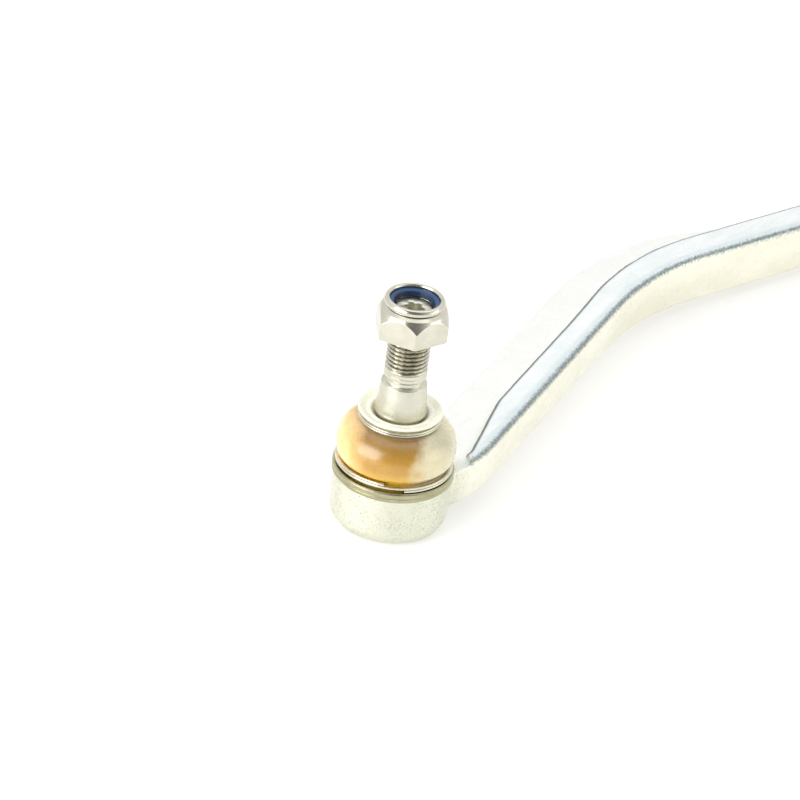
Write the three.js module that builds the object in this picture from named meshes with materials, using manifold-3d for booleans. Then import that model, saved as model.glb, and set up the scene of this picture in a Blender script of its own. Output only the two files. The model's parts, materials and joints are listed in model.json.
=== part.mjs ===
// Tie rod end: a ball joint in a forged, cranked steel arm that ends in a threaded shank.
//
// Millimetres, +Z up. The origin is on the ball joint's axis in the plane that the joint stands on.
// +Z runs up the ball stud, and the threaded shank lies along +X, its axis crossing the stud's.

import * as THREE from 'three';
import { mergeVertices } from 'three/addons/utils/BufferGeometryUtils.js';
import Module from 'manifold-3d';

const wasm = await Module();
wasm.setup();

// ---------------------------------------------------------------- driving dimensions

const GAP = 0.3; // between any two pieces that touch
const OVERLAP = 0.4; // how far one raw shape runs into the next before they are joined

const ROUND = 36; // segments of a turned shape
const THREAD_ROUND = 20; // segments of a threaded shape
const CUT_PAST = 1; // how far a cutter runs past the face that it opens
const TURN = 2 * Math.PI;
const DEGREE = TURN / 360;

// Ball and its two seats
const BALL_RADIUS = 12;
const BALL_POLE = 3; // cut off below
const NECK_RADIUS = 6.5;
const SWING_LIMIT = 25.5 * DEGREE; // largest tilt that the mouth has to clear
const SEAT_WALL = 1.6;
const SEAT_FLOOR = 1.951; // from the lower seat's underside to its cup
const SEAT_HOLE_RADIUS = 7.5;
const SEAT_BEVEL = 1;
const SEAT_SPLIT_DEPTH = 5.5; // where the two seats meet, below the ball centre

// Closing plate and preload spring
const PLATE_THICKNESS = 1.5;
const PLATE_LEDGE_WIDTH = 1.4; // step in the bore that the plate lies against
const PLATE_RIM_WIDTH = 1.2; // flat rim between the plate's boss and the rolled edge
const CRIMP_HEIGHT = 0.5; // rolled edge above the standing plane
const CRIMP_THICKNESS = 0.9;
const CRIMP_REACH = 0.9; // how far the rolled edge grips the plate
const SPRING_HOLE_RADIUS = 5;
const SPRING_THICKNESS = 0.7;
const SPRING_RISE = 0.8;

// Housing
const HOUSING_WALL = 5.1;
const HOUSING_CHAMFER_WIDTH = 1.5;
const HOUSING_CHAMFER_HEIGHT = 2.4;
const HOUSING_FOOT_EDGE = 0.5; // rounded corner below the chamfer
const SHOULDER_LEDGE = 0.7; // how far the shoulder stands out from the housing
const SHOULDER_THICKNESS = 2.9;
const SHOULDER_BEVEL = 0.5;
const COLLAR_WALL = 1.8; // neck of the housing, inside the boot
const COLLAR_RISE = 4.3; // above the shoulder
const COLLAR_BEVEL = 1;
const MOUTH_LIP_THICKNESS = 3.2; // inward lip that holds the ball
const MOUTH_RISE = 0.194; // lip above the root of the tilted neck

// Ball stud: each rise is measured from the ball centre
const STUD_LENGTH = 64;
const BULGE_RISE = 25.8;
const BULGE_STEP = 0.2; // how far the bulge stands out from the taper
const BULGE_EDGE = 0.7;
const BULGE_EDGE_HEIGHT = 1;
const FLARE_SLOPE = 1.75; // height per radius, between the neck and the bulge
const TAPER_RISE = 26.5;
const TAPER_LENGTH = 10.4;
const TAPER_SLOPE = 1 / 12; // radius per length, a 1:6 taper on diameter
const TAPER_STEP = 0.5; // thin end of the taper outside the thread
const TAPER_BEVEL = 0.5;
const GROOVE_LENGTH = 2.2;
const GROOVE_DEPTH = 0.8;
const GROOVE_BEVEL = 0.6;
const PLAIN_LENGTH = 2.6; // between the groove and the thread
const THREAD_RADIUS = 7; // M14
const THREAD_PITCH = 1.5;
const THREAD_DEPTH = 0.92;
const THREAD_ROOT_WIDTH = 0.1;
const STUD_TIP_BEVEL = 1;
const LOBE_OUTER_RADIUS = 3.35; // six-lobe recess
const LOBE_INNER_RADIUS = 2.4;
const LOBE_DEPTH = 5;

// Self-locking nut
const NUT_SEAT_DEPTH = 9.1; // nut's underside below the stud's tip
const NUT_WALL = 4; // from the thread to a flat
const NUT_HEX_HEIGHT = 9.2;
const NUT_TURN = 45.5 * DEGREE; // how the nut happens to stand
const NUT_CHAMFER_ANGLE = 60 * DEGREE;
const NUT_CONE_WIDTH = 1.1;
const NUT_CONE_HEIGHT = 1.06;
const NUT_LIP_HEIGHT = 2.44;
const NUT_LIP_FLARE = 0.5;
const NUT_LIP_FLARE_HEIGHT = 0.9;
const NUT_LIP_BEVEL = 0.6;
const NUT_LIP_WALL = 0.56; // around the insert's pocket
const NUT_LIP_REACH = 0.74; // over the insert
const NUT_LIP_THICKNESS = 0.9;
const NUT_OPENING_BEVEL = 0.4;
const NUT_THREAD_CLEARANCE = 0.35;
const HEX_CHAMFER_INSET = 0.4; // where a hexagon's chamfers begin, inside its flats
const COUNTERSINK = 1;
const INSERT_HEIGHT = 2.4;
const INSERT_WALL = 2;
const INSERT_BEVEL = 0.3;

// Boot
const BOOT_WALL = 2;
const BOOT_FOOT_WALL = 0.9; // gripped by the base ring
const BOOT_BULB_REACH = 2.5; // from the foot to the widest circle
const BOOT_BULB_RISE = 4.7; // from the bulb's underside to the widest circle
const BOOT_BULB_FLAT = 1.3; // flat of the underside, outside the foot
const BOOT_TUCK_ANGLE = 24 * DEGREE; // how far the bulb curls in below its widest circle
const BOOT_INNER_TUCK_ANGLE = 17 * DEGREE;
const BOOT_NECK_DROP = 0.11; // from the foot of the stud's flare down to the boot's neck
const BOOT_NECK_WALL = 1.6;
const BOOT_MOUTH_CLEARANCE = 1.43; // around the stud's bulge
const BOOT_LIP_OVERHANG = 0.4; // beyond the top ring
const BOOT_LIP_HEIGHT = 1.3;
const BOOT_EDGE = 0.5;

// Flat-wire rings
const RING_TURNS = 1.944;
const WIRE_SPACING = 0.12; // between the turns of one ring
const BASE_WIRE_HEIGHT = 0.8;
const BASE_WIRE_WIDTH = 1.9;
const BASE_WIRE_START = 230 * DEGREE;
const TOP_WIRE_HEIGHT = 0.65;
const TOP_WIRE_WIDTH = 1.6;
const TOP_WIRE_START = 69 * DEGREE;

// Arm: two bends between the housing and the shank
const ARM_START_ALONG = 9;
const ARM_START_INSET = 3.5; // inside the housing's wall
const CRANK_POINT = [168.5, 28.2];
const CRANK_RADIUS = 112;
const SHANK_BEND_RADIUS = 90;
const ARM_MIDDLE = 12.75; // level of the forging's parting plane and of the shank's axis
const ARM_ROOT_HEIGHT = 14.5;
const ARM_ROOT_WIDTH = 11.2;
const ARM_CRANK_HEIGHT = 18.5;
const ARM_CRANK_WIDTH = 14;
const ARM_GROWTH_BEFORE = 50; // lengths before and past the crank over which the rib grows
const ARM_GROWTH_PAST = 30;
const ARM_DRAFT = 0.5; // how much wider the forging is at its parting plane
const ARM_NEAR_EDGE_RADIUS = 2.2;
const ARM_BOTTOM_EDGE_RADIUS = 0.8;
const ARM_FAR_EDGE_RADIUS = 0.4;
const ARM_STEP = 12; // longest straight piece of the centre line
const BEND_STEP = 6;
const ROOT_SWEEP_RADIUS = 50; // arc on which the rib's outer wall runs into the housing
const ROOT_SWEEP_START = 34;
const ROOT_TAPER = 5.4; // taken off the rib's inner side beside the housing
const ROOT_TAPER_START = 60;
const FACING_WIDTH = 6.5; // spot face around the shoulder
const FACING_RISE = 0.6; // above the shoulder's underside
const FACING_FLARE = 1.5;
const FACING_DEPTH = 6;
const WEB_OVERHANG = 13.4; // beyond the rib
const WEB_THICKNESS = 6;
const WEB_RUNOUT = 70; // length over which the web fades out past the crank
const WEB_END_INSET = 4; // before the rib starts to turn round

// Shank, jam nut and washer
const SHANK_END = 364; // overall reach from the ball joint's axis
const SHANK_LENGTH = 69.3; // from the corner of the last bend
const SHANK_RADIUS = 8; // M16
const SHANK_PITCH = 1.5;
const SHANK_THREAD_LENGTH = 48;
const SHANK_PLAIN_LENGTH = 16; // round, before the thread
const SHANK_BLEND_LENGTH = 38; // over which the rib turns round
const SHANK_TIP_BEVEL = 1.2;
const JAM_STANDOFF = 6; // from the start of the thread
const JAM_WALL = 4; // from the thread to a flat
const JAM_HEIGHT = 8;
const JAM_CHAMFER_ANGLE = 30 * DEGREE;
const WASHER_THICKNESS = 2.6;
const WASHER_WIDTH = 3.25;

// ---------------------------------------------------------------- dimensions that follow

// Ball, seats, plate and spring, from the standing plane up
const SEAT_INNER_RADIUS = BALL_RADIUS + GAP;
const SEAT_OUTER_RADIUS = SEAT_INNER_RADIUS + SEAT_WALL;
const BORE_RADIUS = SEAT_OUTER_RADIUS + GAP;
const SPRING_SEAT = PLATE_THICKNESS + GAP;
const LOWER_SEAT_BOTTOM = SPRING_SEAT + SPRING_THICKNESS + SPRING_RISE + GAP;
const CUP_DEPTH = Math.sqrt(SEAT_INNER_RADIUS ** 2 - SEAT_HOLE_RADIUS ** 2);
const BALL_HEIGHT = LOWER_SEAT_BOTTOM + SEAT_FLOOR + CUP_DEPTH;
const SEAT_SPLIT = BALL_HEIGHT - SEAT_SPLIT_DEPTH;
const PLATE_BORE = BORE_RADIUS + PLATE_LEDGE_WIDTH;
const PLATE_RADIUS = PLATE_BORE - GAP;
const PLATE_STEP = CRIMP_HEIGHT + CRIMP_THICKNESS + GAP;
const PLATE_LEAN = PLATE_THICKNESS * Math.tan(TURN / 16); // between the two sides of its sloped step
const PLATE_LEDGE = PLATE_STEP + PLATE_THICKNESS + GAP;
const CRIMP_INNER_RADIUS = PLATE_RADIUS - CRIMP_REACH;
const PLATE_BOSS_RADIUS = CRIMP_INNER_RADIUS - PLATE_RIM_WIDTH - PLATE_STEP;
const SPRING_RADIUS = PLATE_BOSS_RADIUS - PLATE_LEAN - GAP;

// Radius that the tilted neck reaches at a height above the ball centre.
function neckReach(height) {
  const along = (height + NECK_RADIUS * Math.sin(SWING_LIMIT)) / Math.cos(SWING_LIMIT);
  return along * Math.sin(SWING_LIMIT) + NECK_RADIUS * Math.cos(SWING_LIMIT);
}

// Housing
const TILTED_ROOT = BALL_RADIUS * Math.cos(Math.asin(NECK_RADIUS / BALL_RADIUS) + SWING_LIMIT);
const MOUTH_BOTTOM = BALL_HEIGHT + TILTED_ROOT + MOUTH_RISE; // underside of the inward lip
const COLLAR_TOP = MOUTH_BOTTOM + MOUTH_LIP_THICKNESS;
const MOUTH_RADIUS = neckReach(COLLAR_TOP - BALL_HEIGHT) + GAP;
const MOUTH_BOTTOM_RADIUS = neckReach(MOUTH_BOTTOM - BALL_HEIGHT) + GAP;
const SHOULDER_TOP = COLLAR_TOP - COLLAR_RISE;
const SHOULDER_BOTTOM = SHOULDER_TOP - SHOULDER_THICKNESS;
const COLLAR_RADIUS = BORE_RADIUS + COLLAR_WALL;
const HOUSING_RADIUS = BORE_RADIUS + HOUSING_WALL;
const SHOULDER_RADIUS = HOUSING_RADIUS + SHOULDER_LEDGE;
const FACING_RADIUS = SHOULDER_RADIUS + FACING_WIDTH;
const FACING_HEIGHT = SHOULDER_BOTTOM + FACING_RISE;

// Ball stud
const BULGE_HEIGHT = BALL_HEIGHT + BULGE_RISE;
const TAPER_BOTTOM = BALL_HEIGHT + TAPER_RISE;
const TAPER_TOP = TAPER_BOTTOM + TAPER_LENGTH;
const GROOVE_TOP = TAPER_TOP + GROOVE_LENGTH;
const THREAD_BOTTOM = GROOVE_TOP + PLAIN_LENGTH;
const STUD_TOP = BALL_HEIGHT + STUD_LENGTH;
const TAPER_TOP_RADIUS = THREAD_RADIUS + TAPER_STEP;
const TAPER_BOTTOM_RADIUS = TAPER_TOP_RADIUS + TAPER_LENGTH * TAPER_SLOPE;
const BULGE_RADIUS = TAPER_BOTTOM_RADIUS + BULGE_STEP;
const GROOVE_RADIUS = THREAD_RADIUS - GROOVE_DEPTH;
const BULGE_FOOT = BULGE_HEIGHT - BULGE_EDGE_HEIGHT;
const FLARE_FOOT = BULGE_FOOT - (BULGE_RADIUS - BULGE_EDGE - NECK_RADIUS) * FLARE_SLOPE;

// Self-locking nut
const NUT_SEAT = STUD_TOP - NUT_SEAT_DEPTH;
const NUT_HEIGHT = NUT_HEX_HEIGHT + NUT_CONE_HEIGHT + NUT_LIP_HEIGHT;
const NUT_ACROSS_FLATS = 2 * (THREAD_RADIUS + NUT_WALL);
const NUT_BORE = THREAD_RADIUS + NUT_THREAD_CLEARANCE;
const INSERT_INNER_RADIUS = THREAD_RADIUS - THREAD_DEPTH / 2;
const INSERT_OUTER_RADIUS = INSERT_INNER_RADIUS + INSERT_WALL;
const INSERT_BOTTOM = NUT_HEIGHT - NUT_LIP_THICKNESS - GAP - INSERT_HEIGHT;
const POCKET_RADIUS = INSERT_OUTER_RADIUS + GAP;
const POCKET_BOTTOM = INSERT_BOTTOM - GAP;
const NUT_CREASE_RADIUS = POCKET_RADIUS + NUT_LIP_WALL;
const NUT_CONE_RADIUS = NUT_CREASE_RADIUS + NUT_CONE_WIDTH;
const NUT_LIP_RADIUS = NUT_CREASE_RADIUS + NUT_LIP_FLARE;
const NUT_OPENING_RADIUS = POCKET_RADIUS - NUT_LIP_REACH;

// Boot and its rings
const ringStack = (wireHeight) => wireHeight + RING_TURNS * (wireHeight + WIRE_SPACING);
const BASE_RING_BOTTOM = SHOULDER_TOP + GAP;
const BOOT_FOOT_RADIUS = COLLAR_RADIUS + GAP + BOOT_FOOT_WALL;
const BOOT_BULB_BOTTOM = BASE_RING_BOTTOM + ringStack(BASE_WIRE_HEIGHT) + GAP;
const BOOT_BULB_HEIGHT = BOOT_BULB_BOTTOM + BOOT_BULB_RISE;
const BOOT_BULB_RADIUS = BOOT_FOOT_RADIUS + BOOT_BULB_REACH;
const BOOT_SHOULDER_HEIGHT = FLARE_FOOT - BOOT_NECK_DROP;
const BOOT_MOUTH_RADIUS = BULGE_RADIUS + BOOT_MOUTH_CLEARANCE;
const BOOT_NECK_RADIUS = BOOT_MOUTH_RADIUS + BOOT_NECK_WALL;
const TOP_RING_BOTTOM = BOOT_SHOULDER_HEIGHT + GAP;
const BOOT_LIP_RADIUS = BOOT_NECK_RADIUS + GAP + TOP_WIRE_WIDTH + BOOT_LIP_OVERHANG;
const BOOT_LIP_BOTTOM = TOP_RING_BOTTOM + ringStack(TOP_WIRE_HEIGHT) + GAP;
const BOOT_TOP = BOOT_LIP_BOTTOM + BOOT_LIP_HEIGHT;

// Arm, shank and jam nut, along X
const ARM_START = [ARM_START_ALONG, ARM_START_INSET - HOUSING_RADIUS];
const SHANK_POINT = [SHANK_END - SHANK_LENGTH, 0];
const SHANK_THREAD_START = SHANK_END - SHANK_THREAD_LENGTH;
const SHANK_BLEND_END = SHANK_THREAD_START - SHANK_PLAIN_LENGTH;
const SHANK_BLEND_START = SHANK_BLEND_END - SHANK_BLEND_LENGTH;
const JAM_POSITION = SHANK_THREAD_START + JAM_STANDOFF;
const JAM_ACROSS_FLATS = 2 * (SHANK_RADIUS + JAM_WALL);
const JAM_BORE = SHANK_RADIUS + NUT_THREAD_CLEARANCE;

// ---------------------------------------------------------------- solids

// Turns a closed geometry into a solid that can be joined and cut.
function solid(geometry) {
  let bare = geometry.index ? geometry.toNonIndexed() : geometry.clone();
  bare.deleteAttribute('normal');
  bare.deleteAttribute('uv');
  bare = mergeVertices(bare, 1e-4);
  const mesh = new wasm.Mesh({
    numProp: 3,
    vertProperties: new Float32Array(bare.attributes.position.array),
    triVerts: new Uint32Array(bare.index.array),
  });
  return new wasm.Manifold(mesh);
}

function geometryOf(manifold) {
  const mesh = manifold.getMesh();
  const geometry = new THREE.BufferGeometry();
  geometry.setAttribute('position', new THREE.BufferAttribute(new Float32Array(mesh.vertProperties), 3));
  geometry.setIndex(new THREE.BufferAttribute(new Uint32Array(mesh.triVerts), 1));
  return geometry;
}

// Turns an outline of [radius, height] points, which starts and ends on the axis or closes on
// itself, into a solid of revolution about Z. The outline runs counter-clockwise.
function turned(outline, segments = ROUND) {
  const points = outline.map(([radius, height]) => new THREE.Vector2(radius, height));
  const closed = outline[0][0] > 0;
  if (closed) points.push(points[0].clone());
  const geometry = new THREE.LatheGeometry(points, segments);
  geometry.rotateX(Math.PI / 2);
  return solid(geometry);
}

// Joins rings of equally many points, in order, into one closed body with flat end caps.
function lofted(rings) {
  const positions = [];
  const count = rings[0].length;
  const corner = (ring, index) => rings[ring][index % count];
  const face = (a, b, c) => positions.push(...a, ...b, ...c);
  for (let ring = 0; ring < rings.length - 1; ring += 1) {
    for (let index = 0; index < count; index += 1) {
      face(corner(ring, index), corner(ring, index + 1), corner(ring + 1, index + 1));
      face(corner(ring, index), corner(ring + 1, index + 1), corner(ring + 1, index));
    }
  }
  for (const [ring, flip] of [[0, true], [rings.length - 1, false]]) {
    const outline = rings[ring];
    const origin = new THREE.Vector3(...outline[0]);
    const normal = new THREE.Vector3();
    for (let index = 1; index < count - 1; index += 1) {
      const first = new THREE.Vector3(...outline[index]).sub(origin);
      normal.add(first.cross(new THREE.Vector3(...outline[index + 1]).sub(origin)));
    }
    const across = new THREE.Vector3(...outline[Math.floor(count / 3)]).sub(origin).normalize();
    const upward = normal.normalize().clone().cross(across);
    const flat = outline.map((point) => {
      const offset = new THREE.Vector3(...point).sub(origin);
      return new THREE.Vector2(offset.dot(across), offset.dot(upward));
    });
    for (const [a, b, c] of THREE.ShapeUtils.triangulateShape(flat, [])) {
      if (flip) face(outline[a], outline[c], outline[b]);
      else face(outline[a], outline[b], outline[c]);
    }
  }
  const geometry = new THREE.BufferGeometry();
  geometry.setAttribute('position', new THREE.Float32BufferAttribute(positions, 3));
  return solid(geometry);
}

// A straight prism on a closed outline of [x, y] points, from one level to another.
function prism(outline, bottom, top) {
  const shape = new THREE.Shape(outline.map(([x, y]) => new THREE.Vector2(x, y)));
  const geometry = new THREE.ExtrudeGeometry(shape, { depth: top - bottom, bevelEnabled: false });
  geometry.translate(0, 0, bottom);
  return solid(geometry);
}

function hexagon(acrossFlats, turn = 0) {
  const radius = acrossFlats / Math.sqrt(3);
  return Array.from({ length: 6 }, (_, corner) => {
    const angle = turn + (corner * TURN) / 6;
    return [radius * Math.cos(angle), radius * Math.sin(angle)];
  });
}

// Points on an arc of a [radius, height] outline.
function arc(centre, radius, from, to, steps) {
  return Array.from({ length: steps + 1 }, (_, step) => {
    const angle = from + ((to - from) * step) / steps;
    return [centre[0] + radius * Math.cos(angle), centre[1] + radius * Math.sin(angle)];
  });
}

// Ridges of a thread, from one height up to another, as sharp rings at its pitch.
function threadOutline(radius, pitch, bottom, top) {
  const count = Math.floor((top - bottom) / pitch);
  const outline = [];
  for (let ridge = 0; ridge < count; ridge += 1) {
    const height = bottom + ridge * pitch;
    outline.push([radius - THREAD_DEPTH, height + THREAD_ROOT_WIDTH], [radius, height + pitch / 2]);
  }
  return outline;
}

function mesh(name, manifold, color, roughness, metalness) {
  const material = new THREE.MeshStandardMaterial({ color, roughness, metalness });
  const part = new THREE.Mesh(geometryOf(manifold), material);
  part.name = name;
  return part;
}

// ---------------------------------------------------------------- the arm's centre line

const mix = (a, b, share) => a + (b - a) * share;

function smooth(value, from, to) {
  const share = Math.min(1, Math.max(0, (value - from) / (to - from)));
  return share * share * (3 - 2 * share);
}

// The line from the housing through the two bends to the shank: straight stretches and arcs.
function armStations() {
  const corners = [ARM_START, CRANK_POINT, SHANK_POINT, [SHANK_THREAD_START, 0]];
  const heading = (a, b) => Math.atan2(b[1] - a[1], b[0] - a[0]);
  const stations = [];
  let from = corners[0];
  for (const [index, radius] of [[1, CRANK_RADIUS], [2, SHANK_BEND_RADIUS]]) {
    const before = heading(corners[index - 1], corners[index]);
    const after = heading(corners[index], corners[index + 1]);
    const turn = after - before;
    const tangent = radius * Math.tan(Math.abs(turn) / 2);
    const side = Math.sign(turn);
    const start = [
      corners[index][0] - tangent * Math.cos(before),
      corners[index][1] - tangent * Math.sin(before),
    ];
    const run = Math.hypot(start[0] - from[0], start[1] - from[1]);
    const steps = Math.ceil(run / ARM_STEP);
    for (let step = stations.length ? 1 : 0; step < steps; step += 1) {
      const share = step / steps;
      stations.push({ x: mix(from[0], start[0], share), y: mix(from[1], start[1], share), heading: before });
    }
    const centre = [start[0] - side * radius * Math.sin(before), start[1] + side * radius * Math.cos(before)];
    const bendSteps = Math.max(3, Math.ceil((radius * Math.abs(turn)) / BEND_STEP));
    for (let step = 0; step <= bendSteps; step += 1) {
      const angle = before + (turn * step) / bendSteps;
      stations.push({
        x: centre[0] + side * radius * Math.sin(angle),
        y: centre[1] - side * radius * Math.cos(angle),
        heading: angle,
      });
    }
    const last = stations[stations.length - 1];
    from = [last.x, last.y];
  }
  const straight = SHANK_THREAD_START - from[0];
  for (let step = 1; step <= 4; step += 1) {
    stations.push({ x: from[0] + (straight * step) / 4, y: 0, heading: 0 });
  }
  return stations;
}

// How far each wall of the rib lies from the centre line, and its height, at a place along X.
function ribSize(x) {
  const grown = smooth(x, CRANK_POINT[0] - ARM_GROWTH_BEFORE, CRANK_POINT[0] + ARM_GROWTH_PAST);
  const round = smooth(x, SHANK_BLEND_START, SHANK_BLEND_END);
  const width = mix(mix(ARM_ROOT_WIDTH, ARM_CRANK_WIDTH, grown), 2 * SHANK_RADIUS, round);
  const height = mix(mix(ARM_ROOT_HEIGHT, ARM_CRANK_HEIGHT, grown), 2 * SHANK_RADIUS, round);
  const sweep = Math.max(0, ROOT_SWEEP_START - x) ** 2 / (2 * ROOT_SWEEP_RADIUS);
  const reach = (ROOT_TAPER_START - x) / (ROOT_TAPER_START - FACING_RADIUS);
  const taper = ROOT_TAPER * Math.min(1, Math.max(0, reach)) * smooth(x, ARM_START[0], FACING_RADIUS);
  return { near: width / 2 - sweep, far: width / 2 - taper, half: height / 2, round };
}

// One cross-section of the rib: a drafted bar whose four edges have their own radii.
function ribSection(station) {
  const { near, far, half, round } = ribSize(station.x);
  const draft = ARM_DRAFT * (1 - round);
  const radius = (edge) => mix(edge, SHANK_RADIUS, round);
  const edges = [
    { side: -near, out: -1, up: -1, radius: radius(ARM_BOTTOM_EDGE_RADIUS), from: Math.PI },
    { side: far, out: 1, up: -1, radius: radius(ARM_BOTTOM_EDGE_RADIUS), from: 1.5 * Math.PI },
    { side: far, out: 1, up: 1, radius: radius(ARM_FAR_EDGE_RADIUS), from: 0 },
    { side: -near, out: -1, up: 1, radius: radius(ARM_NEAR_EDGE_RADIUS), from: 0.5 * Math.PI },
  ];
  const points = [];
  for (const [index, edge] of edges.entries()) {
    const centre = [edge.side - edge.out * edge.radius, edge.up * (half - edge.radius)];
    const curve = arc(centre, edge.radius, edge.from, edge.from + Math.PI / 2, 4);
    for (const [side, level] of curve) {
      points.push([side - edge.out * draft * Math.abs(level / half), level]);
    }
    if (index === 1) points.push([far, 0]);
    if (index === 3) points.push([-near, 0]);
  }
  const across = [-Math.sin(station.heading), Math.cos(station.heading)];
  return points.map(([side, level]) => [
    station.x + across[0] * side,
    station.y + across[1] * side,
    ARM_MIDDLE + level,
  ]);
}

// The thinner web along the inner side of the crank, which fades out towards the shank.
function webSolid() {
  const stations = armStations().filter(({ x }) => x < SHANK_BLEND_START);
  const offset = (station, side) => [
    station.x - Math.sin(station.heading) * side,
    station.y + Math.cos(station.heading) * side,
  ];
  const end = SHANK_BLEND_START - WEB_END_INSET;
  const outer = stations.map((station) => {
    const fade = 1 - smooth(station.x, end - WEB_RUNOUT, end);
    return offset(station, ARM_CRANK_WIDTH / 2 - OVERLAP + (WEB_OVERHANG + OVERLAP) * fade);
  });
  const inner = stations.map((station) => offset(station, 0)).reverse();
  const bottom = ARM_MIDDLE - WEB_THICKNESS / 2;
  return prism([...outer, ...inner], bottom, bottom + WEB_THICKNESS);
}

// ---------------------------------------------------------------- pieces that stay still

function housingSolid() {
  const footTop = CRIMP_HEIGHT + HOUSING_FOOT_EDGE;
  const footRadius = HOUSING_RADIUS - HOUSING_CHAMFER_WIDTH;
  return turned([
    [0, CRIMP_HEIGHT],
    [footRadius - HOUSING_FOOT_EDGE, CRIMP_HEIGHT],
    [footRadius, footTop],
    [HOUSING_RADIUS, footTop + HOUSING_CHAMFER_HEIGHT],
    [HOUSING_RADIUS, SHOULDER_BOTTOM - SHOULDER_LEDGE],
    [SHOULDER_RADIUS, SHOULDER_BOTTOM],
    [SHOULDER_RADIUS, SHOULDER_TOP - SHOULDER_BEVEL],
    [SHOULDER_RADIUS - SHOULDER_BEVEL, SHOULDER_TOP],
    [COLLAR_RADIUS, SHOULDER_TOP],
    [COLLAR_RADIUS, COLLAR_TOP - COLLAR_BEVEL],
    [COLLAR_RADIUS - COLLAR_BEVEL, COLLAR_TOP],
    [0, COLLAR_TOP],
  ]);
}

function cavitySolid() {
  return turned([
    [0, -CUT_PAST],
    [CRIMP_INNER_RADIUS, -CUT_PAST],
    [CRIMP_INNER_RADIUS, CRIMP_HEIGHT + CRIMP_THICKNESS],
    [PLATE_BORE, CRIMP_HEIGHT + CRIMP_THICKNESS],
    [PLATE_BORE, PLATE_LEDGE],
    [BORE_RADIUS, PLATE_LEDGE],
    [BORE_RADIUS, MOUTH_BOTTOM],
    [MOUTH_BOTTOM_RADIUS, MOUTH_BOTTOM],
    [MOUTH_RADIUS, COLLAR_TOP],
    [MOUTH_RADIUS + CUT_PAST, COLLAR_TOP + CUT_PAST],
    [0, COLLAR_TOP + CUT_PAST],
  ]);
}

function shankSolid() {
  const core = SHANK_RADIUS - THREAD_DEPTH;
  const rim = SHANK_END - SHANK_TIP_BEVEL;
  const outline = [
    [0, SHANK_THREAD_START - OVERLAP],
    [core, SHANK_THREAD_START - OVERLAP],
    ...threadOutline(SHANK_RADIUS, SHANK_PITCH, SHANK_THREAD_START, rim),
    [core, rim],
    [core - SHANK_TIP_BEVEL / 2, SHANK_END],
    [0, SHANK_END],
  ];
  return turned(outline, THREAD_ROUND).rotate([0, 90, 0]).translate([0, 0, ARM_MIDDLE]);
}

// The forging: housing, rib, web and shank in one piece, faced flat around the boot.
function forgedBody() {
  const rib = lofted(armStations().map(ribSection));
  const facing = turned([
    [0, FACING_HEIGHT],
    [FACING_RADIUS, FACING_HEIGHT],
    [FACING_RADIUS + FACING_FLARE, FACING_HEIGHT + FACING_DEPTH],
    [0, FACING_HEIGHT + FACING_DEPTH],
  ]);
  const arm = rib.add(webSolid()).subtract(facing);
  const body = arm.add(housingSolid()).add(shankSolid()).subtract(cavitySolid());
  return mesh('forged_body', body, 0xd9dbd3, 0.5, 0.75);
}

function closingPlate() {
  const plate = turned([
    [0, 0],
    [PLATE_BOSS_RADIUS, 0],
    [PLATE_BOSS_RADIUS + PLATE_STEP, PLATE_STEP],
    [PLATE_RADIUS, PLATE_STEP],
    [PLATE_RADIUS, PLATE_STEP + PLATE_THICKNESS],
    [PLATE_BOSS_RADIUS + PLATE_STEP - PLATE_LEAN, PLATE_STEP + PLATE_THICKNESS],
    [PLATE_BOSS_RADIUS - PLATE_LEAN, PLATE_THICKNESS],
    [0, PLATE_THICKNESS],
  ]);
  return mesh('closing_plate', plate, 0xcfd2cb, 0.4, 0.8);
}

function preloadSpring() {
  const spring = turned([
    [SPRING_HOLE_RADIUS, SPRING_SEAT + SPRING_RISE],
    [SPRING_RADIUS, SPRING_SEAT],
    [SPRING_RADIUS, SPRING_SEAT + SPRING_THICKNESS],
    [SPRING_HOLE_RADIUS, SPRING_SEAT + SPRING_RISE + SPRING_THICKNESS],
  ]);
  return mesh('preload_spring', spring, 0x4a4f57, 0.35, 0.9);
}

// Angle, seen from the ball centre, at which the seats' cup crosses a level.
const cupAngle = (height) => Math.asin((height - BALL_HEIGHT) / SEAT_INNER_RADIUS);

function lowerSeat() {
  const bottom = LOWER_SEAT_BOTTOM;
  const top = SEAT_SPLIT - GAP / 2;
  const curve = arc([0, BALL_HEIGHT], SEAT_INNER_RADIUS, cupAngle(bottom + SEAT_FLOOR), cupAngle(top), 6);
  const outline = [
    [SEAT_HOLE_RADIUS, bottom],
    [SEAT_OUTER_RADIUS - SEAT_BEVEL, bottom],
    [SEAT_OUTER_RADIUS, bottom + SEAT_BEVEL],
    [SEAT_OUTER_RADIUS, top],
    ...curve.reverse(),
  ];
  return mesh('lower_seat', turned(outline), 0xf2efe4, 0.45, 0);
}

function upperSeat() {
  const bottom = SEAT_SPLIT + GAP / 2;
  const top = MOUTH_BOTTOM - GAP;
  const cupAtTop = SEAT_INNER_RADIUS * Math.cos(cupAngle(top));
  const mouth = Math.max(neckReach(top - BALL_HEIGHT), cupAtTop) + GAP;
  const endAngle = Math.acos(mouth / SEAT_INNER_RADIUS);
  const curve = arc([0, BALL_HEIGHT], SEAT_INNER_RADIUS, cupAngle(bottom), endAngle, 10);
  const outline = [
    [SEAT_OUTER_RADIUS, bottom],
    [SEAT_OUTER_RADIUS, top],
    [mouth, top],
    ...curve.reverse(),
  ];
  return mesh('bearing_shell', turned(outline), 0xf2efe4, 0.45, 0);
}

// ---------------------------------------------------------------- boot and its rings

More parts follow.
